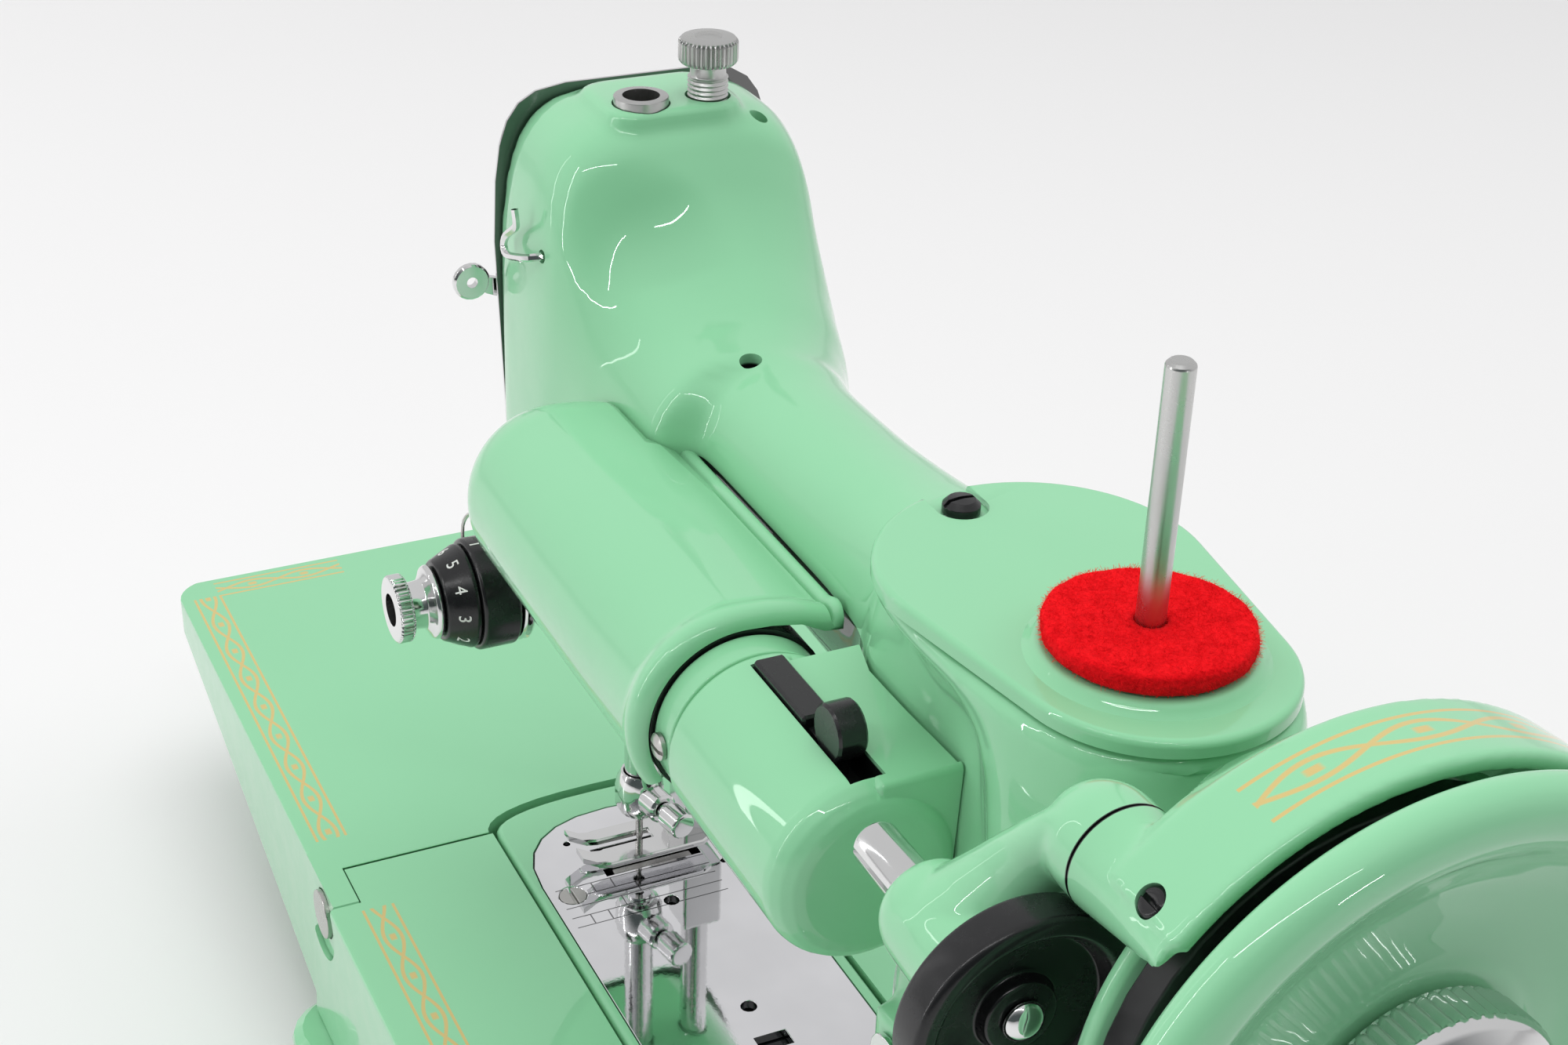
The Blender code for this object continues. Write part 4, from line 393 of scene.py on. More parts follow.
# %% [markdown]
# ## Modelling kit
# Most of the machine is turned, cast or cut from plate, and the helpers follow those trades.
# `lathe` turns a profile with rounded corners and can groove its rim, `loft` skins a row of
# sections, `carve` drills and joins, and `cast` gives a fused body the soft corners of a casting.
# `dress` puts a finished mesh on its CAD body, and `tidy` gives a CAD node that keeps its shape
# small bevels and clean normals.

# %% modelling kit
SHARP_ANGLE = 34.0
REPLACED = set()             # nodes that a finer piece stands for
BODY_OF = {node: body for body, nodes in frame["record"]["behaviour"]["bodies"].items()
           for node in nodes}
AXES = {'X': (Vector((1, 0, 0)), Vector((0, 1, 0))), 'Y': (Vector((0, 1, 0)), Vector((0, 0, 1))),
        'Z': (Vector((0, 0, 1)), Vector((1, 0, 0)))}


def put(name, data):
    """A new object in the scene."""
    made = bpy.data.objects.new(name, data)
    bpy.context.scene.collection.objects.link(made)
    return made


def shade(bm, angle):
    """Smooth faces, with edges over the angle sharp."""
    for face in bm.faces:
        face.smooth = True
    for edge in bm.edges:
        edge.smooth = edge.calc_face_angle(0.0) < radians(angle)


def mesh_object(name, bm, angle=32.0):
    """Object from a bmesh, smooth except over edges sharper than the angle."""
    bmesh.ops.recalc_face_normals(bm, faces=bm.faces)
    shade(bm, angle)
    mesh = bpy.data.meshes.new(name)
    bm.to_mesh(mesh)
    bm.free()
    return put(name, mesh)


def smooth_faces(piece):
    """The piece shaded again, after a voxel skin or a cut."""
    bm = bmesh.new()
    bm.from_mesh(piece.data)
    shade(bm, 50.0)
    bm.to_mesh(piece.data)
    bm.free()
    return piece


def dress(piece, look, *nodes, body=None):
    """Paints a piece, makes it ride on the body of its first node, and stands it for the nodes."""
    piece.data.materials.clear()
    piece.data.materials.append(LOOKS[look] if isinstance(look, str) else look)
    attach(piece, body or BODY_OF[nodes[0]])
    if nodes:
        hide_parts(*nodes)
        REPLACED.update(nodes)
    return piece


def baked(piece):
    """The piece with its modifiers applied."""
    graph = bpy.context.evaluated_depsgraph_get()
    mesh = bpy.data.meshes.new_from_object(piece.evaluated_get(graph), depsgraph=graph)
    piece.modifiers.clear()
    piece.data = mesh
    mesh.name = piece.name
    return piece


def modifier(piece, kind, **settings):
    made = piece.modifiers.new(kind.lower(), kind)
    for key, value in settings.items():
        setattr(made, key, value)
    return made


def carve(piece, *cutters, operation='DIFFERENCE'):
    """Cuts pieces out of another piece, or joins them to it, and deletes them."""
    for cutter in cutters:
        modifier(piece, 'BOOLEAN', object=cutter, operation=operation, solver='EXACT')
        baked(piece)
        bpy.data.objects.remove(cutter)
    return piece


def cast(body, voxel, relax):
    """The body under a voxel skin, relaxed like a sanded casting."""
    modifier(body, 'REMESH', mode='VOXEL', voxel_size=voxel * MM)
    modifier(body, 'SMOOTH', factor=0.5, iterations=relax)
    return baked(body)


def softened(profile, r, steps=3):
    """Profile with every corner turned into a small curve."""
    points = [Vector(profile[0])]
    for a, b, c in zip(profile, profile[1:], profile[2:]):
        a, b, c = Vector(a), Vector(b), Vector(c)
        reach = min(r, 0.45 * (a - b).length, 0.45 * (c - b).length)
        if reach < 0.01:
            points.append(b)
            continue
        p = b + (a - b).normalized() * reach
        q = b + (c - b).normalized() * reach
        for i in range(steps + 1):
            t = i / steps
            points.append(p * (1 - t) ** 2 + b * 2 * t * (1 - t) + q * t * t)
    points.append(Vector(profile[-1]))
    return points


def lathe(name, centre, axis, profile, steps=96, soft=0.3, flutes=None, angle=32.0):
    """Turned form. Flutes (low, high, count, depth) grooves the rim between two stations."""
    along, out = AXES[axis]
    side = along.cross(out)
    points = softened(profile, soft)
    bm = bmesh.new()
    rings = []
    for a, r in points:
        if r < 1e-6:
            rings.append([bm.verts.new(centre + along * a * MM)] * steps)
            continue
        ring = []
        for i in range(steps):
            turn = tau * i / steps
            rr = r
            if flutes and flutes[0] <= a <= flutes[1]:
                rr -= flutes[3] * (0.5 - 0.5 * cos(flutes[2] * turn)) ** 1.5
            ring.append(bm.verts.new(centre + (along * a + (out * cos(turn)
                                                            + side * sin(turn)) * rr) * MM))
        rings.append(ring)
    loop = rings + ([rings[0]] if points[0][1] > 1e-6 else [])
    for first, second in zip(loop, loop[1:]):
        for i in range(steps):
            j = (i + 1) % steps
            corners = list(dict.fromkeys((first[i], first[j], second[j], second[i])))
            if len(corners) > 2:
                bm.faces.new(corners)
    return mesh_object(name, bm, angle)


def rod(name, centre, axis, low, high, r, steps=40):
    return lathe(name, centre, axis, [(low, 0.0), (low, r), (high, r), (high, 0.0)], steps, 0.0)


def loft(name, rings, angle=32.0):
    """Closed skin over rings of equal length, with flat ends."""
    bm = bmesh.new()
    made = [[bm.verts.new(p) for p in ring] for ring in rings]
    for first, second in zip(made, made[1:]):
        for i in range(len(first)):
            j = (i + 1) % len(first)
            bm.faces.new((first[i], first[j], second[j], second[i]))
    bm.faces.new(made[0])
    bm.faces.new(made[-1])
    return mesh_object(name, bm, angle)


def block(name, x, y, z):
    corners = [[at(x[i], y[j], z[k]) for i, j in ((0, 0), (1, 0), (1, 1), (0, 1))] for k in (0, 1)]
    return loft(name, corners)


def stations(rows, steps):
    """Smooth curve through rows of numbers, with steps between each two, without overshoot."""
    def slope(i, k):
        if i in (0, len(rows) - 1):
            return 0.0
        left = (rows[i][k] - rows[i - 1][k]) / (rows[i][0] - rows[i - 1][0])
        right = (rows[i + 1][k] - rows[i][k]) / (rows[i + 1][0] - rows[i][0])
        return 0.0 if left * right <= 0 else 2 * left * right / (left + right)

    out = []
    for i in range(len(rows) - 1):
        span = rows[i + 1][0] - rows[i][0]
        for s in range(steps):
            t = s / steps
            row = [rows[i][0] + span * t]
            for k in range(1, len(rows[i])):
                a, b = rows[i][k], rows[i + 1][k]
                ma, mb = slope(i, k) * span, slope(i + 1, k) * span
                row.append((2 * t ** 3 - 3 * t * t + 1) * a + (t ** 3 - 2 * t * t + t) * ma
                           + (3 * t * t - 2 * t ** 3) * b + (t ** 3 - t * t) * mb)
            out.append(tuple(row))
    return out + [rows[-1]]


def power_point(turn, a, b, power):
    c, s = cos(turn), sin(turn)
    return (copysign(abs(c) ** (2 / power), c) * a, copysign(abs(s) ** (2 / power), s) * b)


def cad_copy(node, name, keep):
    """A welded copy of a CAD node, cut to a box of X, Y and Z spans."""
    bm = bmesh.new()
    bm.from_mesh(NODES[node].data)
    bmesh.ops.remove_doubles(bm, verts=bm.verts, dist=2e-6)
    bmesh.ops.dissolve_limit(bm, angle_limit=0.004, verts=bm.verts, edges=bm.edges)
    return carve(mesh_object(name, bm), block("keep", *keep), operation='INTERSECT')


def tidy(piece, bevel):
    """Welded, slightly bevelled and cleanly shaded, by modifiers alone."""
    modifier(piece, 'WELD', merge_threshold=2e-6)
    modifier(piece, 'DECIMATE', decimate_type='DISSOLVE', angle_limit=radians(0.3))
    smooth = modifier(piece, 'NODES')
    smooth.node_group = SMOOTHER
    modifier(piece, 'BEVEL', width=bevel * MM, segments=2, limit_method='ANGLE',
             angle_limit=radians(SHARP_ANGLE), harden_normals=False)
    modifier(piece, 'WEIGHTED_NORMAL', keep_sharp=True)


def smoother():
    """Node group that shades faces smooth and keeps edges over the sharp angle."""
    group = bpy.data.node_groups.new("smooth_by_angle", 'GeometryNodeTree')
    group.interface.new_socket("Geometry", in_out='INPUT', socket_type='NodeSocketGeometry')
    group.interface.new_socket("Geometry", in_out='OUTPUT', socket_type='NodeSocketGeometry')
    start = group.nodes.new("NodeGroupInput")
    end = group.nodes.new("NodeGroupOutput")
    faces = group.nodes.new("GeometryNodeSetShadeSmooth")
    edges = group.nodes.new("GeometryNodeSetShadeSmooth")
    edges.domain = 'EDGE'
    edges.inputs["Shade Smooth"].default_value = False
    turn = group.nodes.new("GeometryNodeInputMeshEdgeAngle")
    sharp = group.nodes.new("FunctionNodeCompare")
    sharp.inputs[1].default_value = radians(SHARP_ANGLE)
    for a, b in ((start.outputs[0], faces.inputs["Geometry"]),
                 (faces.outputs[0], edges.inputs["Geometry"]),
                 (turn.outputs["Unsigned Angle"], sharp.inputs[0]),
                 (sharp.outputs[0], edges.inputs["Selection"]), (edges.outputs[0], end.inputs[0])):
        group.links.new(a, b)
    return group


SMOOTHER = smoother()
print("modelling kit ready")

# %% [markdown]
# ## Casting
# Head, arm and pillar are one aluminium casting, with soft blends wherever two forms meet.
# Subdivision over a hand-made cage could give them, but booleans and holes would pinch it. So
# head, arm and pillar are lofted with fine, smoothly interpolated sections, fused by a voxel
# skin, relaxed like a sanded casting, and then hollowed and drilled as the CAD casting is. The
# bed keeps its flat CAD faces.

# %% upper casting
TOE_TOP = 96.0               # below this height the head's foot narrows
NICHE_START, NICHE_SPAN = 0.42, 0.3  # where the pillar's niche runs out, as shares of its width


def arm_ring(x, front, back, low, high, power, toe, count=120):
    """Section of head and arm across X, narrowed below by the toe."""
    cy, cz = (front + back) / 2, (low + high) / 2
    ring = []
    for i in range(count):
        u, v = power_point(tau * (i + 0.5) / count, (back - front) / 2, (high - low) / 2, power)
        z = cz + v
        if toe > 0.0 and z < TOE_TOP:
            u *= 1.0 - toe * ((TOE_TOP - z) / (TOE_TOP - low)) ** 1.5
        ring.append(at(x, cy + u, z))
    return ring


def pillar_ring(z, left, right, half_left, half_right, power, niche, count=120):
    """Section of the pillar across Z, its front set back by the niche beside the lamp."""
    cx, a = (left + right) / 2, (right - left) / 2
    ring = []
    for i in range(count):
        u, v = power_point(tau * (i + 0.5) / count, a, 1.0, power)
        share = (u + a) / (2 * a)
        half = half_left + (half_right - half_left) * share
        if v < 0.0:
            away = min(max((share - NICHE_START) / NICHE_SPAN, 0.0), 1.0)
            half -= niche * (1.0 - away * away * (3.0 - 2.0 * away))
        ring.append(at(cx + u, v * half, z))
    return ring


ARM = [
    (-19.8, -21.4, 35.4, 52.0, 167.8, 4.4, 0.44), (-14.0, -21.9, 35.8, 52.0, 168.5, 4.6, 0.44),
    (-4.0, -22.1, 35.4, 52.0, 168.5, 4.6, 0.44), (3.0, -21.9, 34.4, 52.6, 167.9, 4.4, 0.42),
    (7.5, -21.5, 33.6, 54.0, 165.9, 4.2, 0.40), (11.0, -21.0, 33.3, 56.0, 161.6, 3.8, 0.36),
    (15.5, -20.5, 33.2, 60.0, 155.6, 3.4, 0.28), (20.5, -20.1, 32.6, 67.0, 150.9, 3.0, 0.18),
    (26.0, -19.7, 31.2, 76.0, 147.3, 2.7, 0.06), (33.0, -19.3, 28.8, 87.0, 144.2, 2.5, 0.0),
    (40.0, -19.0, 25.2, 95.0, 142.0, 2.4, 0.0), (48.0, -18.6, 21.8, 100.4, 140.8, 2.3, 0.0),
    (54.6, -11.4, 19.6, 102.8, 140.2, 2.3, 0.0), (62.0, -11.0, 18.5, 104.0, 139.9, 2.3, 0.0),
    (80.0, -11.0, 18.2, 105.0, 140.2, 2.3, 0.0), (100.0, -11.1, 19.0, 104.0, 141.6, 2.3, 0.0),
    (116.0, -12.2, 20.4, 101.0, 144.0, 2.4, 0.0), (130.0, -16.5, 22.6, 95.5, 146.4, 2.6, 0.0),
    (142.0, -16.5, 23.8, 87.0, 147.7, 3.0, 0.0), (156.0, -16.5, 22.0, 72.0, 146.7, 3.0, 0.0)]
DEEP = 8.9
PILLAR = [
    (-1.0, 138.0, 211.8, 32.8, 32.4, 3.2, 0.0), (9.0, 141.0, 209.0, 31.0, 30.4, 3.2, 0.0),
    (20.0, 145.0, 205.8, 29.2, 28.6, 3.1, 0.0), (40.0, 147.0, 204.2, 28.4, 27.6, 3.0, 0.0),
    (66.0, 147.2, 203.4, 28.0, 27.0, 3.0, 0.0), (88.0, 145.0, 202.8, 27.4, 26.2, 2.9, 0.0),
    (98.0, 142.0, 202.5, 27.0, 25.6, 2.85, DEEP * 0.5),
    (107.0, 139.0, 202.2, 26.6, 25.0, 2.8, DEEP),
    (121.0, 132.0, 201.0, 26.0, 23.8, 2.7, DEEP), (133.0, 126.2, 199.4, 25.8, 22.7, 2.6, DEEP),
    (139.0, 123.8, 198.2, 25.8, 22.2, 2.55, DEEP * 0.74),
    (143.4, 122.4, 197.3, 25.8, 21.8, 2.5, DEEP * 0.34),
    (147.4, 121.8, 196.8, 25.6, 21.4, 2.45, 0.0),
    (PILLAR_TOP, 122.8, 195.8, 24.8, 20.6, 2.45, 0.0)]


def rounded(u0, u1, v0, v1, r, steps=8):
    points = []
    for cu, cv, start in ((u1 - r, v0 + r, -90), (u1 - r, v1 - r, 0), (u0 + r, v1 - r, 90),
                          (u0 + r, v0 + r, 180)):
        points += arc(cu, cv, r, start, start + 90, steps)
    return points


def arc(cu, cv, r, start, end, steps):
    return [(cu + r * cos(radians(start + (end - start) * i / steps)),
             cv + r * sin(radians(start + (end - start) * i / steps)))
            for i in range(steps + 1)]


def plate(name, outline, low, high, bevel):
    """Flat form from a plan outline, its top edge rounded."""
    cx = sum(u for u, v in outline) / len(outline)
    cy = sum(v for u, v in outline) / len(outline)
    levels = [(low, 0.0)]
    for i in range(6):
        turn = radians(90 * i / 5)
        levels.append((high - bevel + bevel * sin(turn), bevel * (1 - cos(turn))))
    rings = []
    for z, inset in levels:
        ring = []
        for u, v in outline:
            out = Vector((u - cx, v - cy))
            ring.append(at(cx + out.x - out.normalized().x * inset,
                           cy + out.y - out.normalized().y * inset, z))
        rings.append(ring)
    return loft(name, rings)


def press_hollow(body):
    """The shallow hollow in the right side of the head, above the root of the arm."""
    half_y, half_z, deep = 15.0, 17.0, 3.0
    mesh = body.data
    ways = [vert.normal.copy() for vert in mesh.vertices]
    for vert, way in zip(mesh.vertices, ways):
        x, y, z = vert.co.x / MM, vert.co.y / MM, vert.co.z / MM - BED_H
        mid_y = -4.0 + (150.0 - z) * 0.12
        away = ((y - mid_y) / half_y) ** 2 + ((z - 147.0) / half_z) ** 2
        if x > 4.0 and away < 1.0 and way.x > 0.0:
            vert.co -= way * (deep * MM * (1.0 - away) ** 2 * min(1.0, way.x * 2.0))


def upper_casting():
    body = loft("casting_upper", [arm_ring(*row) for row in stations(ARM, 4)])
    bearing = lathe("bearing", SHAFT, 'X',
                    [(178.0, 0.0), (178.0, 17.0), (200.0, 16.4), (203.4, 13.0), (203.4, 0.0)], 64)
    seat = cad_copy("machine_body", "seat", ((150.0, 187.0), (15.0, 70.0), (10.0, 80.0)))
    pads = [plate("pad", rounded(-15.5, 6.2, -7.6, 19.2, 5.4), 160.0, PAD_TOP, 1.1),
            block("stitch_pad", (STITCH_X - 13, STITCH_X + 13), (-28.9, -20.0), (42.0, 90.0)),
            rod("lifter_boss", at(LIFTER_X, 0, LIFTER_Z), 'Y', 20.0, 35.2, 7.0)]
    parts = [loft("pillar", [pillar_ring(*row) for row in stations(PILLAR, 4)]), bearing, seat]
    carve(body, *parts, *pads, operation='UNION')
    cast(body, 1.15, 5)
    press_hollow(body)
    room = block("room", (-24.8, 10.0), (-13.0, 19.5), (66.0, 152.0))
    holes = [rod("shaft", SHAFT, 'X', 4.0, 230.0, 4.8),
             rod("needle", at(0, 0, 0), 'Z', 40.0, 80.0, 3.475),
             rod("press", at(0, PRESS_Y, 0), 'Z', 40.0, 80.0, 3.3),
             rod("bush", at(0, 0, 0), 'Z', 140.0, 190.0, 5.45),
             rod("screw", at(0, PRESS_Y, 0), 'Z', 140.0, 190.0, 4.3),
             rod("lever", at(0, 25.0, 112.0), 'X', -24.8, -8.0, 2.8),
             rod("lifter", at(LIFTER_X, 0, LIFTER_Z), 'Y', 26.5, 50.0, 2.8),
             rod("tension", TEN, 'Y', -40.0, -10.0, 3.3),
             rod("spool", SPOOL, 'Z', 138.7, 190.0, 2.4),
             rod("oil_head", at(*OIL_HEAD, 170.0), 'Z', -12.0, 12.0, 1.7),
             rod("oil_arm", at(*OIL_ARM, 146.0), 'Z', -12.0, 12.0, 2.0),
             rod("guide", at(3.4, 0, 144.4), 'Y', -30.0, -17.5, 1.3),
             rod("cap_screw", at(*CAP_SCREW, 0), 'Z', 139.7, 190.0, 1.9),
             rod("face_screw", at(0, 26.0, 138.0), 'X', -30.0, -8.0, 1.9),
             block("stitch_way", (STITCH_X - 1.9, STITCH_X + 1.9), (-40.0, -2.0), (54.0, 78.0)),
             rod("stitch_pin", at(0, -8.0, STITCH_Z), 'X', STITCH_X - 5.0, STITCH_X + 5.0, 1.9)]
    return smooth_faces(carve(body, carve(room, *holes, operation='UNION')))


UPPER = dress(upper_casting(), SPECIAL["machine_body"], "machine_body")
BED_BOX = ((-60.0, 260.0), (-120.0, 120.0), (-60.0, 2.0))
LOWER = dress(cad_copy("machine_body", "casting_bed", BED_BOX), SPECIAL["machine_body"],
              "machine_body")
modifier(LOWER, 'WEIGHTED_NORMAL', keep_sharp=True)
print("casting:", len(UPPER.data.polygons), "and", len(LOWER.data.polygons), "faces")

# %% [markdown]
# ## Lamp
# The hood is a pressed sheet with a rolled lip, a bead along its back edge and a hollow domed
# end. A solid with a Solidify wall could stand for it, but its bead and lip would be lost. So
# each section is drawn as a thin closed outline, outside and then back inside, and lofted along
# the lamp. The housing behind it is turned, joined to a square back and slotted for the switch.

# %% lamp
SHADE_R, SHADE_LEFT, SHADE_RIGHT, SHADE_BACK = 17.0, 21.3, 113.0, -11.8


def hood_ring(x, shrink=0.0, lip=0.0, wall=1.6, steps=64):
    """Open section of the hood: bead, valley, flat top and round front, then back inside."""
    outer, inner = SHADE_R - shrink + lip, SHADE_R - wall - shrink
    top, flat = LAMP_Z + outer, LAMP_Z + inner
    bead = arc(SHADE_BACK - 1.2, top - 3.75, 1.25, -60, 165, 15)
    skin = [(SHADE_BACK - 2.7, top - 3.1 - 0.55 * (top - flat)), (SHADE_BACK - 3.0, top - 3.15),
            (SHADE_BACK - 3.5, top - 2.95), (SHADE_BACK - 5.4, top - 2.2), (-20.0, top - 1.2),
            (-25.0, top - 0.28)]
    skin += arc(LAMP_Y, LAMP_Z, outer, 88.0, 213.0, steps)
    under = arc(LAMP_Y, LAMP_Z, inner, 213.0, 86.0, steps)
    under += [(-25.0, flat - 0.28), (-20.0, flat - 1.2), (SHADE_BACK - 4.2, flat - 3.3),
              (SHADE_BACK - 0.4, flat - 3.7)]
    return [at(x, y, z) for y, z in bead + skin + under]


def hood():
    rings = []
    dome = 15.0
    for turn in range(4, 91, 4):
        x = SHADE_LEFT + dome - dome * cos(radians(turn))
        rings.append(hood_ring(x, SHADE_R * (1 - sin(radians(turn))) * 0.8,
                               wall=min(1.6, 0.3 + turn * 0.03)))
    rings += [hood_ring(x) for x in (50.0, 70.0, 90.0, SHADE_RIGHT - 7.0)]
    for out, lip in ((6.0, 0.1), (5.2, 0.35), (4.4, 0.68), (3.6, 0.92), (2.8, 1.02), (2.0, 0.95),
                     (1.3, 0.7), (0.7, 0.25), (0.3, -0.35), (0.0, -1.1)):
        rings.append(hood_ring(SHADE_RIGHT - out, 0.0, lip))
    return loft("lamp_hood", rings, 40.0)


def arm_keepout():
    """The arm grown by the clearance, so that the lamp stays off it."""
    grown = [(row[0], row[1] - 0.9, row[2], *row[3:]) for row in ARM if row[0] > 10.0]
    return loft("arm_room", [arm_ring(*row, count=64) for row in stations(grown, 2)])


HOOD = hood()
carve(HOOD, arm_keepout())
dress(HOOD, "mint_paint", "lamp_shade")


def socket():
    left, right, r = SHADE_RIGHT - 0.2, 158.0, 15.2
    body = lathe("lamp_housing", LAMP, 'X',
                 [(left, 0.0), (left, r - 0.8), (left + 5.6, r - 0.8), (left + 5.7, r - 2.1),
                  (left + 6.5, r - 2.1), (left + 6.6, r - 0.4), (left + 7.4, r), (right - 4.4, r),
                  (right - 3.0, r - 0.3), (right - 1.5, r - 1.2), (right - 0.4, r - 2.7),
                  (right, r - 4.2), (right, 0.0)], 128, 0.45)
    back = [at(SHADE_RIGHT + 9.2, y, z) for y, z in rounded(-29.6, -12.0, 101.0, 127.08, 1.2)]
    shift = Vector((157.1 - SHADE_RIGHT - 9.2, 0, 0)) * MM
    part = loft("housing_back", [back, [p + shift for p in back]])
    modifier(part, 'BEVEL', width=0.9 * MM, segments=3, limit_method='ANGLE')
    baked(part)
    carve(body, part, operation='UNION')
    pillar = [(row[0], row[1], row[2], row[3] + 0.35, row[4] + 0.35, *row[5:]) for row in PILLAR
              if row[0] > 60.0]
    carve(body, block("slot", (SHADE_RIGHT + 8.6, 154.6), (LAMP_Y - 2.75, LAMP_Y + 2.75),
                      (LAMP_Z + 9.5, LAMP_Z + 30.0)),
          rod("bulb_way", LAMP, 'X', left - 2.0, left + 17.0, 8.0),
          rod("ring_screw", at(left + 3.0, 0, LAMP_Z), 'Y', -46.0, -39.0, 1.4), arm_keepout(),
          loft("pillar_room", [pillar_ring(*row, count=64) for row in stations(pillar, 2)]))
    modifier(body, 'BEVEL', width=0.35 * MM, segments=2, limit_method='ANGLE',
             angle_limit=radians(45.0))
    modifier(body, 'WEIGHTED_NORMAL', keep_sharp=False)
    return body


dress(socket(), SPECIAL["lamp_socket"], "lamp_socket")
print("lamp hood and housing ready")

# %% [markdown]
# ## Top cover and felt
# The cap is an egg-shaped plate with a low ring for the felt, so it is drawn as two arcs and
# given a rounded top edge. The felt is a soft disc with an uneven rim and loose fibres. Hair
# particles could make the fibres, but they don't export, so they are short ribbons in the mesh.

# %% cover and felt
def cover_outline(steps=48):
    big, small = (147.6, 24.3), (175.6, 19.8)
    lean = degrees(asin((big[1] - small[1]) / (small[0] - big[0])))
    points = arc(small[0], 0.0, small[1], -90 + lean, 90 - lean, steps)
    return points + arc(big[0], 0.0, big[1], 90 - lean, 270 + lean, steps)


def cover():
    low, top = PILLAR_TOP + 0.3, PILLAR_TOP + 2.8
    body = plate("pillar_cap", cover_outline(), low, top, 1.1)
    ring = lathe("felt_ring", SPOOL, 'Z',
                 [(low + 0.5, 0.0), (low + 0.5, 16.9), (top - 0.2, 16.9), (top + 0.5, 15.9),
                  (top + 1.6, 14.9), (top + 1.6, 0.0)], 128, 0.7)
    carve(body, ring, operation='UNION')
    carve(body, rod("pin_way", SPOOL, 'Z', low - 5, top + 9, 2.4),
          rod("screw_way", at(*CAP_SCREW, 0), 'Z', low - 5, top + 9, 1.9),
          rod("screw_seat", at(*CAP_SCREW, 0), 'Z', top - 1.1, top + 9, 4.1, 64),
          block("screw_notch", (118.0, 129.2), (-7.1, 1.1), (top - 1.1, top + 9)))
    modifier(body, 'WEIGHTED_NORMAL', keep_sharp=True)
    return body


FIBRES = 11000


def felt():
    """Soft disc: wavy rim, dished edge, and short fibres standing out of it."""
    chance = random.Random(7)
    low = PILLAR_TOP + 4.7
    disc = lathe("felt_disc", SPOOL, 'Z',
                 [(low, 2.3), (low, 13.7), (low + 0.5, 14.2), (low + 1.7, 14.4), (low + 2.8, 14.2)]
                 + [(low + 3.2, r) for r in (13.6, 11.0, 8.5, 6.0, 4.0, 2.3)], 200, 0.3,
                 angle=180.0)
    bm = bmesh.new()
    bm.from_mesh(disc.data)
    bmesh.ops.subdivide_edges(bm, edges=bm.edges, cuts=1, use_grid_fill=True)
    middle = at(SPOOL_X, 0, low + 1.6)
    for vert in bm.verts:
        out = vert.co - middle
        wave = noise.noise(vert.co * 300.0) * 0.26 + noise.noise(vert.co * 1700.0) * 0.10
        reach = Vector((out.x, out.y, 0.0))
        share = min(1.0, reach.length / (14.0 * MM))
        vert.co += (reach.normalized() * wave * share ** 2 + Vector((0, 0, wave * 0.4))) * MM
        vert.co.z = max(vert.co.z, at(0, 0, low).z)
    faces = [face for face in bm.faces if face.normal.z > 0.3 or face.calc_center_median().z
             > at(0, 0, low + 0.5).z]
    sizes = [face.calc_area() for face in faces]
    for face in chance.choices(faces, sizes, k=FIBRES):
        corners = [vert.co for vert in face.verts]
        root = corners[0].lerp(corners[1], chance.random()).lerp(
            corners[-1].lerp(corners[-2], chance.random()), chance.random())
        lean = Vector((chance.gauss(0, 1), chance.gauss(0, 1), chance.gauss(0, 0.7)))
        heading = (face.normal * 0.7 + lean).normalized()
        heading += face.normal * max(0.0, 0.15 - heading.dot(face.normal))
        side = heading.cross(Vector((chance.gauss(0, 1), chance.gauss(0, 1), 1.0))).normalized()
        length = chance.uniform(0.2, 0.75)
        width = side * 0.02 * MM
        bend = lean * 0.2
        spine = [root + (heading * t + bend * t * t) * length * MM for t in (0.0, 0.5, 1.0)]
        ribbon = [(bm.verts.new(p - width), bm.verts.new(p + width)) for p in spine]
        for (a, b), (c, d) in zip(ribbon, ribbon[1:]):
            bm.faces.new((a, b, d, c))
    for face in bm.faces:
        face.smooth = True
    bm.to_mesh(disc.data)
    bm.free()
    return disc


dress(cover(), "mint_paint", "top_cover")
FELT = dress(felt(), "felt", "spool_felt")
print("cover and felt ready,", len(FELT.data.polygons), "faces in the felt")

# %% [markdown]
# ## Round pieces
# Wheel, knobs, tyre, dial, bushing and screws are turned on the real machine. The CAD has their
# profiles in few facets, which show in reflections. A Subdivision modifier would round their
# edges too much, so they are turned again with many steps and small corner radii, with flutes
# where fingers grip them and rings where a thread shows.

# %% turned pieces
def turn_piece(name, node, look, axis, centre, profile, steps=96, soft=0.3, flutes=None,
               angle=32.0):
    """A turned piece dressed for its node."""
    return dress(lathe(name, centre, axis, profile, steps, soft, flutes, angle), look, node)


def threaded(low, high, r, pitch, depth):
    """Profile stations of a screw thread drawn as rings."""
    points = []
    count = max(1, int((high - low) / pitch))
    for i in range(count):
        z = low + (high - low) * i / count
        points += [(z, r), (z + (high - low) / count * 0.5, r - depth)]
    return points + [(high, r)]


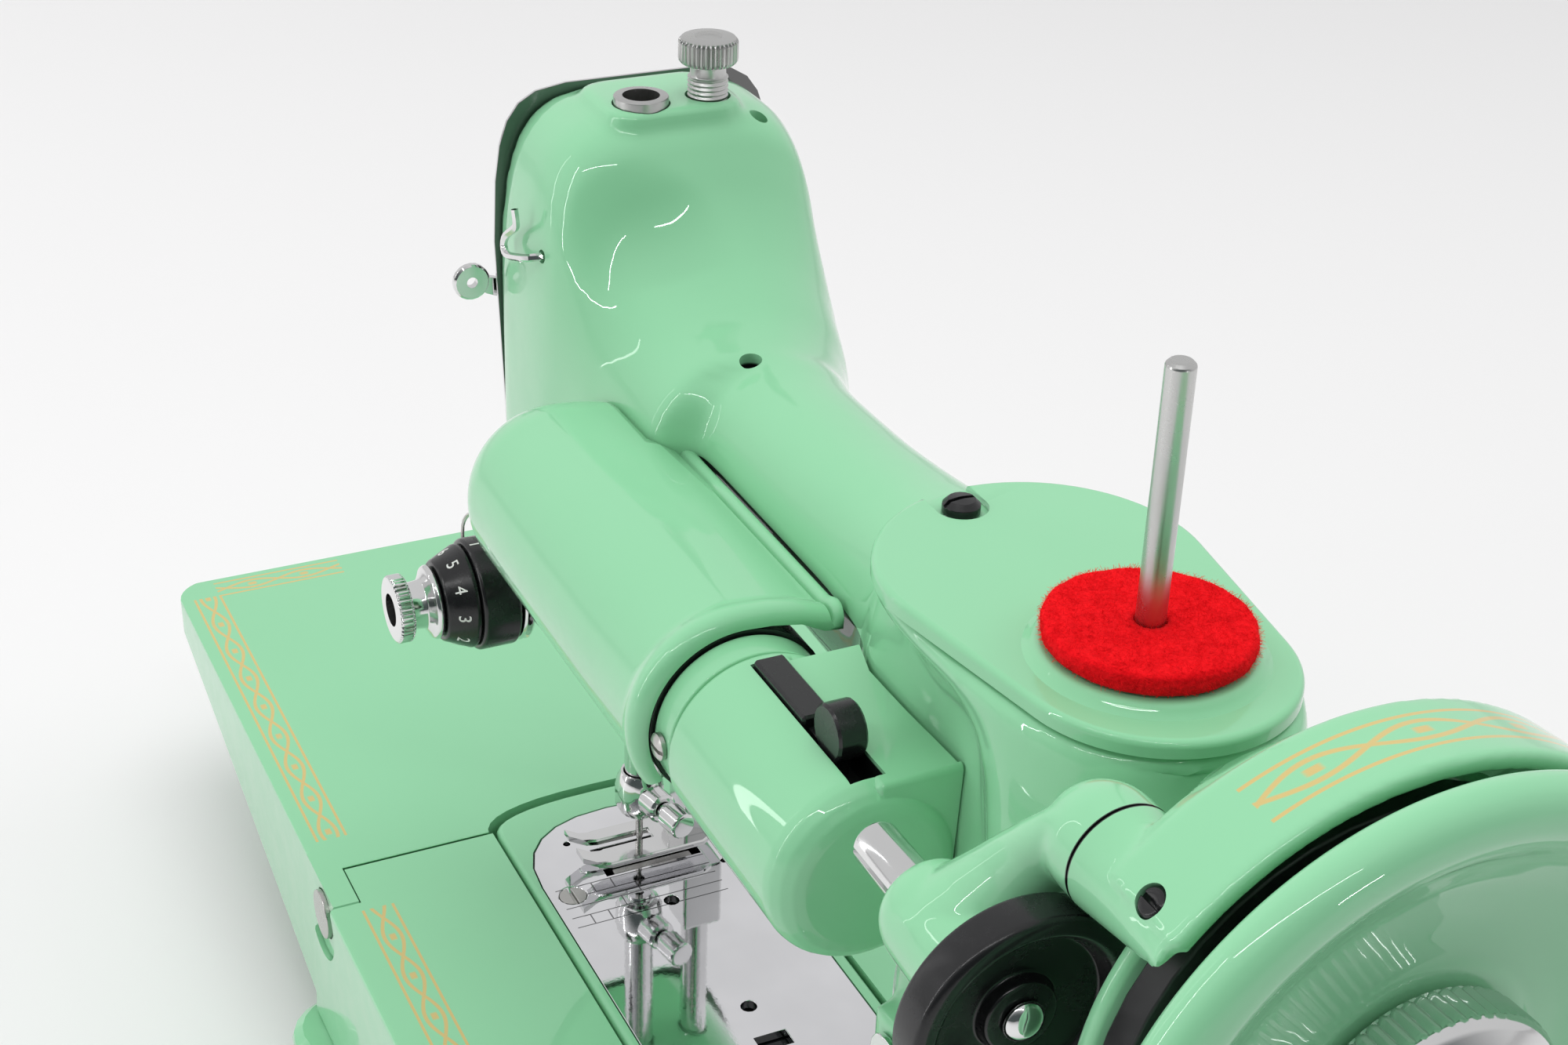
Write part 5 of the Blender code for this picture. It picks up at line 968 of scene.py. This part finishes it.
turn_piece("wheel_rim", "handwheel", "mint_paint", 'X', SHAFT,
           [(204.0, 4.8), (204.0, 17.5), (213.4, 17.5), (216.0, 21.0), (217.2, 36.0),
            (219.4, 36.0), (221.1, 31.5), (225.9, 31.5), (227.6, 36.0), (231.4, 36.6),
            (233.0, 39.0), (234.2, 44.4), (235.4, 45.9), (237.2, 46.3), (239.4, 45.6),
            (240.8, 43.6), (241.0, 41.0), (239.6, 38.2), (236.6, 35.0), (234.2, 30.0),
            (233.2, 24.0), (233.4, 19.4), (234.0, 17.8), (234.0, 4.8)], 192, 1.6, angle=50.0)
turn_piece("clutch_knob", "stop_motion_knob", "chrome", 'X', SHAFT,
           [(234.3, 0.0), (234.3, 15.4), (235.6, 17.0), (240.6, 17.2), (242.4, 16.4),
            (244.0, 13.6), (244.6, 9.6), (244.2, 6.0), (243.6, 0.0)], 240, 0.6,
           (235.4, 240.8, 60, 0.5))
turn_piece("winder_tyre", "winder_pulley", "tyre", 'X', WIND,
           [(204.0, 2.7), (204.0, 11.5), (204.6, 13.5), (204.8, 14.9), (205.4, 15.7),
            (210.4, 15.7), (211.0, 14.9), (211.0, 13.3), (210.2, 12.3), (207.6, 11.3),
            (207.0, 5.4), (208.9, 5.0), (208.9, 2.7)], 128, 0.45)
turn_piece("bushing_ring", "needle_bar_bushing", "satin", 'Z', at(0, 0, 0),
           [(153.0, 3.475), (153.0, 5.15), (171.9, 5.15), (171.9, 3.475)], 96, 0.35)
turn_piece("pressure_knob_piece", "pressure_screw", "satin", 'Z', at(0, PRESS_Y, 0),
           [(161.0, 0.0), (161.0, 3.9)] + threaded(167.0, 174.0, 3.9, 0.85, 0.42)
           + [(174.3, 3.4), (176.4, 3.3), (176.7, 5.1), (177.3, 5.6), (180.8, 5.6),
              (181.5, 5.0), (181.7, 2.6), (181.3, 2.2), (181.3, 0.0)], 288, 0.22,
           (176.9, 181.0, 38, 0.6))
turn_piece("tension_cup", "tension_drum", "black_plastic", 'Y', TEN,
           [(-29.1, 3.3), (-29.1, 10.7), (-29.6, 11.2), (-36.4, 11.2), (-36.9, 10.7),
            (-36.9, 3.3)], 128, 0.3)
turn_piece("tension_cone", "tension_dial", "black_plastic", 'Y', TEN,
           [(-37.2, 3.3), (-37.2, 10.3), (-38.0, 10.4), (-43.0, 8.1), (-43.3, 7.7),
            (-43.3, 3.3)], 128, 0.25)
turn_piece("tension_pair", "tension_discs", "chrome", 'Y', TEN,
           [(-25.9, 3.3), (-26.3, 10.4), (-26.9, 10.9), (-27.3, 8.4), (-27.7, 8.4),
            (-28.0, 10.9), (-28.6, 10.4), (-28.8, 3.3)], 96, 0.15)
turn_piece("tension_thumb_nut", "tension_nut", "chrome", 'Y', TEN,
           [(-43.6, 3.3), (-43.6, 7.0), (-44.3, 7.5), (-45.0, 7.1), (-45.3, 6.4),
            (-46.2, 4.9), (-49.0, 4.6), (-49.3, 6.4), (-49.7, 6.8), (-52.0, 6.8),
            (-52.4, 6.3), (-52.4, 3.3)], 288, 0.22, (-52.2, -49.45, 44, 0.36))
print("turned pieces ready")

# %% [markdown]
# ## Spindle and bulb
# The winder's spindle is turned and then sawn, so that it springs inside a bobbin. Two half
# profiles could be modelled, but a turned form with a thin block cut out is what the maker did.

# %% spindle and bulb
def spindle():
    body = lathe("split_spindle", WIND, 'X',
                 [(170.4, 0.0), (170.4, 2.9), (171.0, 3.4), (182.8, 3.4), (182.8, 2.4),
                  (209.2, 2.4), (209.2, 2.9), (209.7, 2.8), (210.3, 2.3), (210.8, 1.4),
                  (211.0, 0.0)], 96, 0.5)
    return carve(body, block("split", (160.0, 181.0), (WIND_Y - 5, WIND_Y + 5),
                             (WIND_Z - 0.4, WIND_Z + 0.4)))


dress(spindle(), "chrome", "winder_spindle")
turn_piece("bulb_glass", "lamp_bulb", "frosted_glass", 'X', LAMP,
           [(58.0, 0.0), (59.0, 4.6), (62.0, 7.8), (67.0, 9.6), (73.0, 10.0), (79.0, 9.4),
            (88.0, 7.6), (94.0, 7.2), (124.0, 7.2), (124.0, 0.0)], 64, 1.5)

# %% [markdown]
# ## Guard and winder casting
# The guard is a cast band round the belt, with the winder's bearing thinning into it. A turned
# ring with a cylinder on it would show a hard seam. So its section is swept round the shaft in
# fine steps, from full web to open band, and fused with a tapering lug under one voxel skin. The
# winder casting is made the same way: boss, flared neck and knuckle, fused and relaxed.

# %% guard
SCREW_AT = at(223.6, SCREW_RADIUS * cos(LUG_TURN),
              SHAFT_Z + SCREW_RADIUS * sin(LUG_TURN))


def leaned(piece):
    """Leans an upright piece at the set screw's place, square to the lug's surface."""
    shift = Matrix.Translation(SCREW_AT)
    lean = Matrix.Rotation(radians(LUG_ANGLE - 90.0), 4, 'X')
    piece.data.transform(shift @ lean @ shift.inverted())
    return piece


def guard_ring(angle, share):
    """Section of the guard, from full web at share 0 to open band at share 1."""
    web = [(203.9, 20.5), (206.3, 20.5), (206.3, 30.4), (217.5, 41.7), (231.0, 42.7),
           (231.0, 44.6), (230.4, 45.2), (217.0, 44.2), (203.9, 31.6)]
    band = [(214.4, 40.2), (215.4, 40.2), (216.0, 40.9), *web[3:8], (214.4, 42.6)]
    c, s = cos(radians(angle)), sin(radians(angle))
    ring = []
    for (x0, r0), (x1, r1) in zip(web, band):
        x, r = x0 + (x1 - x0) * share, r0 + (r1 - r0) * share
        ring.append(at(x, r * c, SHAFT_Z + r * s))
    return ring


def guard_lug():
    """The winder's bearing, from a round boss on the left to a thin end in the band."""
    turn = LUG_TURN
    rings = []
    for i in range(-1, 13):
        share = max(i, 0) / 12
        r = LUG_RADIUS + 7.15 * share ** 1.3
        deep, wide = 7.5 - 6.5 * share, 7.5 - 2.5 * share
        ring = []
        for k in range(64):
            u, v = deep * cos(tau * k / 64), wide * sin(tau * k / 64)
            ring.append(at(210.0 + 20.0 * share + 2.4 * min(i, 0),
                           (r + u) * cos(turn) - v * sin(turn),
                           SHAFT_Z + (r + u) * sin(turn) + v * cos(turn)))
        rings.append(ring)
    return loft("lug", rings)


def guard():
    spans = [(18.0 + 1.5 * i, 0.0) for i in range(61)]
    spans += [(108.0 + 15.0 * i / 12, 0.5 - 0.5 * cos(pi * i / 12)) for i in range(1, 13)]
    spans += [(123.0 + 15.0 * i / 10, 1.0) for i in range(1, 11)]
    body = loft("guard_band", [guard_ring(a, s) for a, s in spans])
    carve(body, guard_lug(), operation='UNION')
    cast(body, 0.62, 4)
    way = rod("set_screw_way", SCREW_AT, 'Z', 0.2, 20.0, 2.15)
    carve(body, rod("wheel_way", SHAFT, 'X', 216.2, 232.5, 37.6, 128),
          rod("lug_bore", LUG, 'X', 205.0, 216.7, 2.3), leaned(way),
          rod("knuckle_room", LUG, 'X', 200.0, 210.0, 9.6, 96))
    return body


dress(smooth_faces(guard()), GUARD_LOOK, "belt_guard")


def winder_casting():
    """Spindle boss and knuckle joined by a neck that flares into both."""
    body = lathe("winder_casting", WIND, 'X',
                 [(183.2, 0.0), (183.2, 5.2), (184.6, 6.9), (187.0, 7.6), (202.0, 8.2),
                  (203.4, 7.4), (203.4, 0.0)], 96, 1.0)
    heading = atan2(LUG_Z - WIND_Z, LUG_Y - WIND_Y)
    rings = []
    for share, x, thick, wide in ((0.0, 192.4, 8.8, 8.2), (0.15, 192.8, 8.2, 7.2),
                                  (0.32, 194.0, 7.2, 6.0), (0.5, 196.0, 6.2, 5.6),
                                  (0.68, 198.4, 5.6, 5.8), (0.84, 201.2, 5.4, 6.6),
                                  (1.0, 204.0, 4.8, 7.3), (1.08, 205.4, 4.0, 7.0)):
        y, z = WIND_Y + (LUG_Y - WIND_Y) * share, WIND_Z + (LUG_Z - WIND_Z) * share
        ring = []
        for i in range(48):
            u, v = power_point(tau * (i + 0.5) / 48, thick, wide, 2.2)
            ring.append(at(x + u, y - v * sin(heading), z + v * cos(heading)))
        rings.append(ring)
    knuckle = lathe("knuckle", LUG, 'X',
                    [(199.0, 0.0), (199.0, 3.4), (201.6, 6.2), (205.0, 7.5), (212.0, 7.5),
                     (212.0, 0.0)], 96, 2.0)
    carve(body, loft("neck", rings), operation='UNION')
    carve(body, knuckle, operation='UNION')
    cast(body, 0.36, 26)
    carve(body, block("face", (209.7, 215.0), (-40.0, -10.0), (138.0, 164.0)),
          rod("spindle_bore", WIND, 'X', 170.0, 215.0, 2.45))
    carve(body, rod("winder_pin", LUG, 'X', 207.0, 215.3, 2.0), operation='UNION')
    return smooth_faces(body)


dress(winder_casting(), SPECIAL["winder_frame"], "winder_frame")
print("guard and winder casting ready")

# %% [markdown]
# ## Small black and white marks
# These are the set screw in the guard's lug, the numbers on the dial, and the plus, minus and
# index line on the drum. The signs could be drawn in the shader, but digits are awkward sums. So
# they are thin meshes from the built-in font, bent round the axis of the dial.

# %% small marks
def set_screw():
    body = lathe("set_screw", SCREW_AT, 'Z', [(0.4, 0.0), (0.4, 2.0), (3.0, 2.0), (3.4, 1.6),
                                              (3.4, 0.0)], 48, 0.2)
    y, z = SCREW_AT.y / MM, SCREW_AT.z / MM - BED_H
    slot = block("slot", (220.0, 228.0), (y - 0.35, y + 0.35), (z + 2.6, z + 5.0))
    return dress(leaned(carve(body, slot)), "black_plastic", body="machine")


def flat_text(text, size, depth):
    """Mesh of a sign in the XY plane, centred, from the built-in font."""
    curve = bpy.data.curves.new("sign", 'FONT')
    curve.body = text
    curve.size = size * MM
    curve.extrude = depth * MM / 2
    curve.align_x = 'CENTER'
    curve.align_y = 'CENTER'
    curve.resolution_u = 6
    sign = put("sign", curve)
    graph = bpy.context.evaluated_depsgraph_get()
    mesh = bpy.data.meshes.new_from_object(sign.evaluated_get(graph))
    bpy.data.objects.remove(sign)
    return mesh


def on_tension(text, angle, y, r, size, slant=0.0):
    """A sign on the dial or the drum, its top towards the casting, bent round their axis."""
    mesh = flat_text(text, size, 0.12)
    for vert in mesh.vertices:
        u, v, w = vert.co.x / MM, vert.co.y / MM, vert.co.z / MM
        radius = r + w + v * sin(radians(slant))
        turn = radians(angle) - u / r
        vert.co = at(radius * cos(turn), y + v * cos(radians(slant)),
                     TEN_Z + radius * sin(turn))
    return mesh


def marks(name, meshes, node):
    bm = bmesh.new()
    for mesh in meshes:
        bm.from_mesh(mesh)
    mesh = bpy.data.meshes.new(name)
    bm.to_mesh(mesh)
    bm.free()
    return dress(put(name, mesh), WHITE_MARK, body=BODY_OF[node])


set_screw()
DIGIT_STEP, DRUM_R = 36.0, 11.22
DIGITS = [on_tension(str(n), 2.0 + DIGIT_STEP * (n - 3), -40.5, 9.28, 3.5, 24.7)
          for n in range(10)]
SIGNS = [on_tension(sign, angle, y, DRUM_R, size)
         for sign, angle, y, size in (("+", 66.0, -32.4, 4.2), ("|", 88.0, -33.4, 5.0),
                                      ("-", 112.0, -32.4, 4.2))]
marks("dial_numbers", DIGITS, "tension_dial")
marks("drum_marks", SIGNS, "tension_drum")
print("marks ready")

# %% [markdown]
# ## The other nodes
# Flat plates, bars, screws and the belt already have the right shape. Modelling them again would
# add nothing, so they keep their CAD meshes and get small bevels and clean normals. Plates with
# wide flat faces get no bevel, because it would leave a seam in their reflections.

# %% tidy the rest
BEVELS = {"needle_plate": 0.12, "drive_belt": 0.3}
UNBEVELLED = ("bed_leaf", "bed_extension", "face_plate", "thread_hook", "check_spring", "needle")
for name, node in NODES.items():
    if name not in REPLACED:
        tidy(node, 0.0 if name in UNBEVELLED else BEVELS.get(name, 0.18))
print(len(NODES) - len(REPLACED), "nodes tidied")

# %% [markdown]
# ## Studio
# Glossy enamel shows whatever stands round it. An even white world would make it look flat, so
# the machine stands on pale paper under a bright tent, with a darker room behind the camera. Soft
# boxes light it without showing in reflections, and narrow strips draw the long highlights.

# %% studio
WORLD_STRENGTH = 0.74
WORLD_WHITE, WORLD_DARK = (0.945, 0.945, 0.95, 1.0), (0.10, 0.12, 0.12, 1.0)
DARK_SIDE = Vector((0.86, -0.42, -0.28))  # from the machine towards the camera and the floor


def area_light(name, place, target, size, power):
    data = bpy.data.lights.new(name, 'AREA')
    data.shape = 'RECTANGLE'
    data.size = size[0]
    data.size_y = size[1]
    data.energy = power
    light = put(name, data)
    light.location = place
    light.rotation_euler = (Vector(target) - Vector(place)).to_track_quat('-Z', 'Y').to_euler()
    return light


def floor():
    bm = bmesh.new()
    bmesh.ops.create_grid(bm, x_segments=2, y_segments=2, size=6.0)
    mesh = bpy.data.meshes.new("floor")
    bm.to_mesh(mesh)
    bm.free()
    plate = put("floor", mesh)
    plate.location = (0.0, 0.0, FLOOR_Z)
    paper = Paint("floor_paper", (0.815, 0.81, 0.81), 0.6)
    paper.bump(paper.noise(60.0, 4.0), 0.02, 0.001)
    mesh.materials.append(paper.material)


def tent():
    """World light: white above and to the left, a darker room behind the camera."""
    world = bpy.data.worlds.new("studio")
    bpy.context.scene.world = world
    world.use_nodes = True
    tree = world.node_tree
    way = tree.nodes.new("ShaderNodeTexCoord")
    dot = tree.nodes.new("ShaderNodeVectorMath")
    dot.operation = 'DOT_PRODUCT'
    dot.inputs[1].default_value = DARK_SIDE.normalized()
    share = tree.nodes.new("ShaderNodeMapRange")
    share.interpolation_type = 'SMOOTHSTEP'
    share.inputs["From Min"].default_value = 0.05
    share.inputs["From Max"].default_value = 0.75
    mix = tree.nodes.new("ShaderNodeMix")
    mix.data_type = 'RGBA'
    mix.inputs[6].default_value = WORLD_WHITE
    mix.inputs[7].default_value = WORLD_DARK
    back = tree.nodes["Background"]
    for a, b in ((way.outputs["Generated"], dot.inputs[0]),
                 (dot.outputs["Value"], share.inputs["Value"]),
                 (share.outputs["Result"], mix.inputs[0]), (mix.outputs[2], back.inputs["Color"])):
        tree.links.new(a, b)
    back.inputs["Strength"].default_value = WORLD_STRENGTH


floor()
tent()
LIGHTS = (
    ("overhead", (0.0, 0.1, 1.5), (0.1, 0.0, 0.1), (1.1, 0.9), 7.0),
    ("left_box", (-1.3, -0.5, 0.9), (0.0, 0.0, 0.1), (0.8, 0.8), 4.0),
    ("back_box", (0.2, 1.4, 1.0), (0.1, 0.0, 0.1), (1.2, 0.5), 3.5),
    ("front_box", (0.15, -1.5, 0.5), (0.1, 0.0, 0.1), (0.8, 0.6), 2.9),
    ("strip_left", (-0.80, -0.90, 0.40), (0.0, 0.0, 0.15), (0.018, 1.05), 0.3),
    ("strip_side", (-0.20, -1.20, 0.60), (0.1, 0.0, 0.12), (0.018, 1.1), 2.0),
    ("strip_front", (1.30, 0.25, 0.34), (0.0, 0.0, 0.18), (0.16, 0.02), 0.5),
    ("strip_high", (0.55, -0.45, 1.05), (0.05, 0.0, 0.15), (1.2, 0.015), 2.0))
for light in LIGHTS:
    area_light(*light).visible_glossy = light[0].startswith("strip")

camera = put("camera", bpy.data.cameras.new("camera"))
camera.data.lens = 56.0
camera.data.sensor_width = 36.0
camera.data.clip_start = 0.02
right = Vector((0.42915, 0.90271, 0.03069))
up = Vector((-0.44722, 0.18285, 0.87553))
back = Vector((0.78474, -0.38946, 0.48218))
turn = Matrix((right, up, back)).transposed().to_4x4()
camera.matrix_world = Matrix.Translation((0.3981, -0.1652, 0.3710)) @ turn
bpy.context.scene.camera = camera
bpy.context.scene.view_settings.view_transform = 'Standard'
print("studio and camera ready")
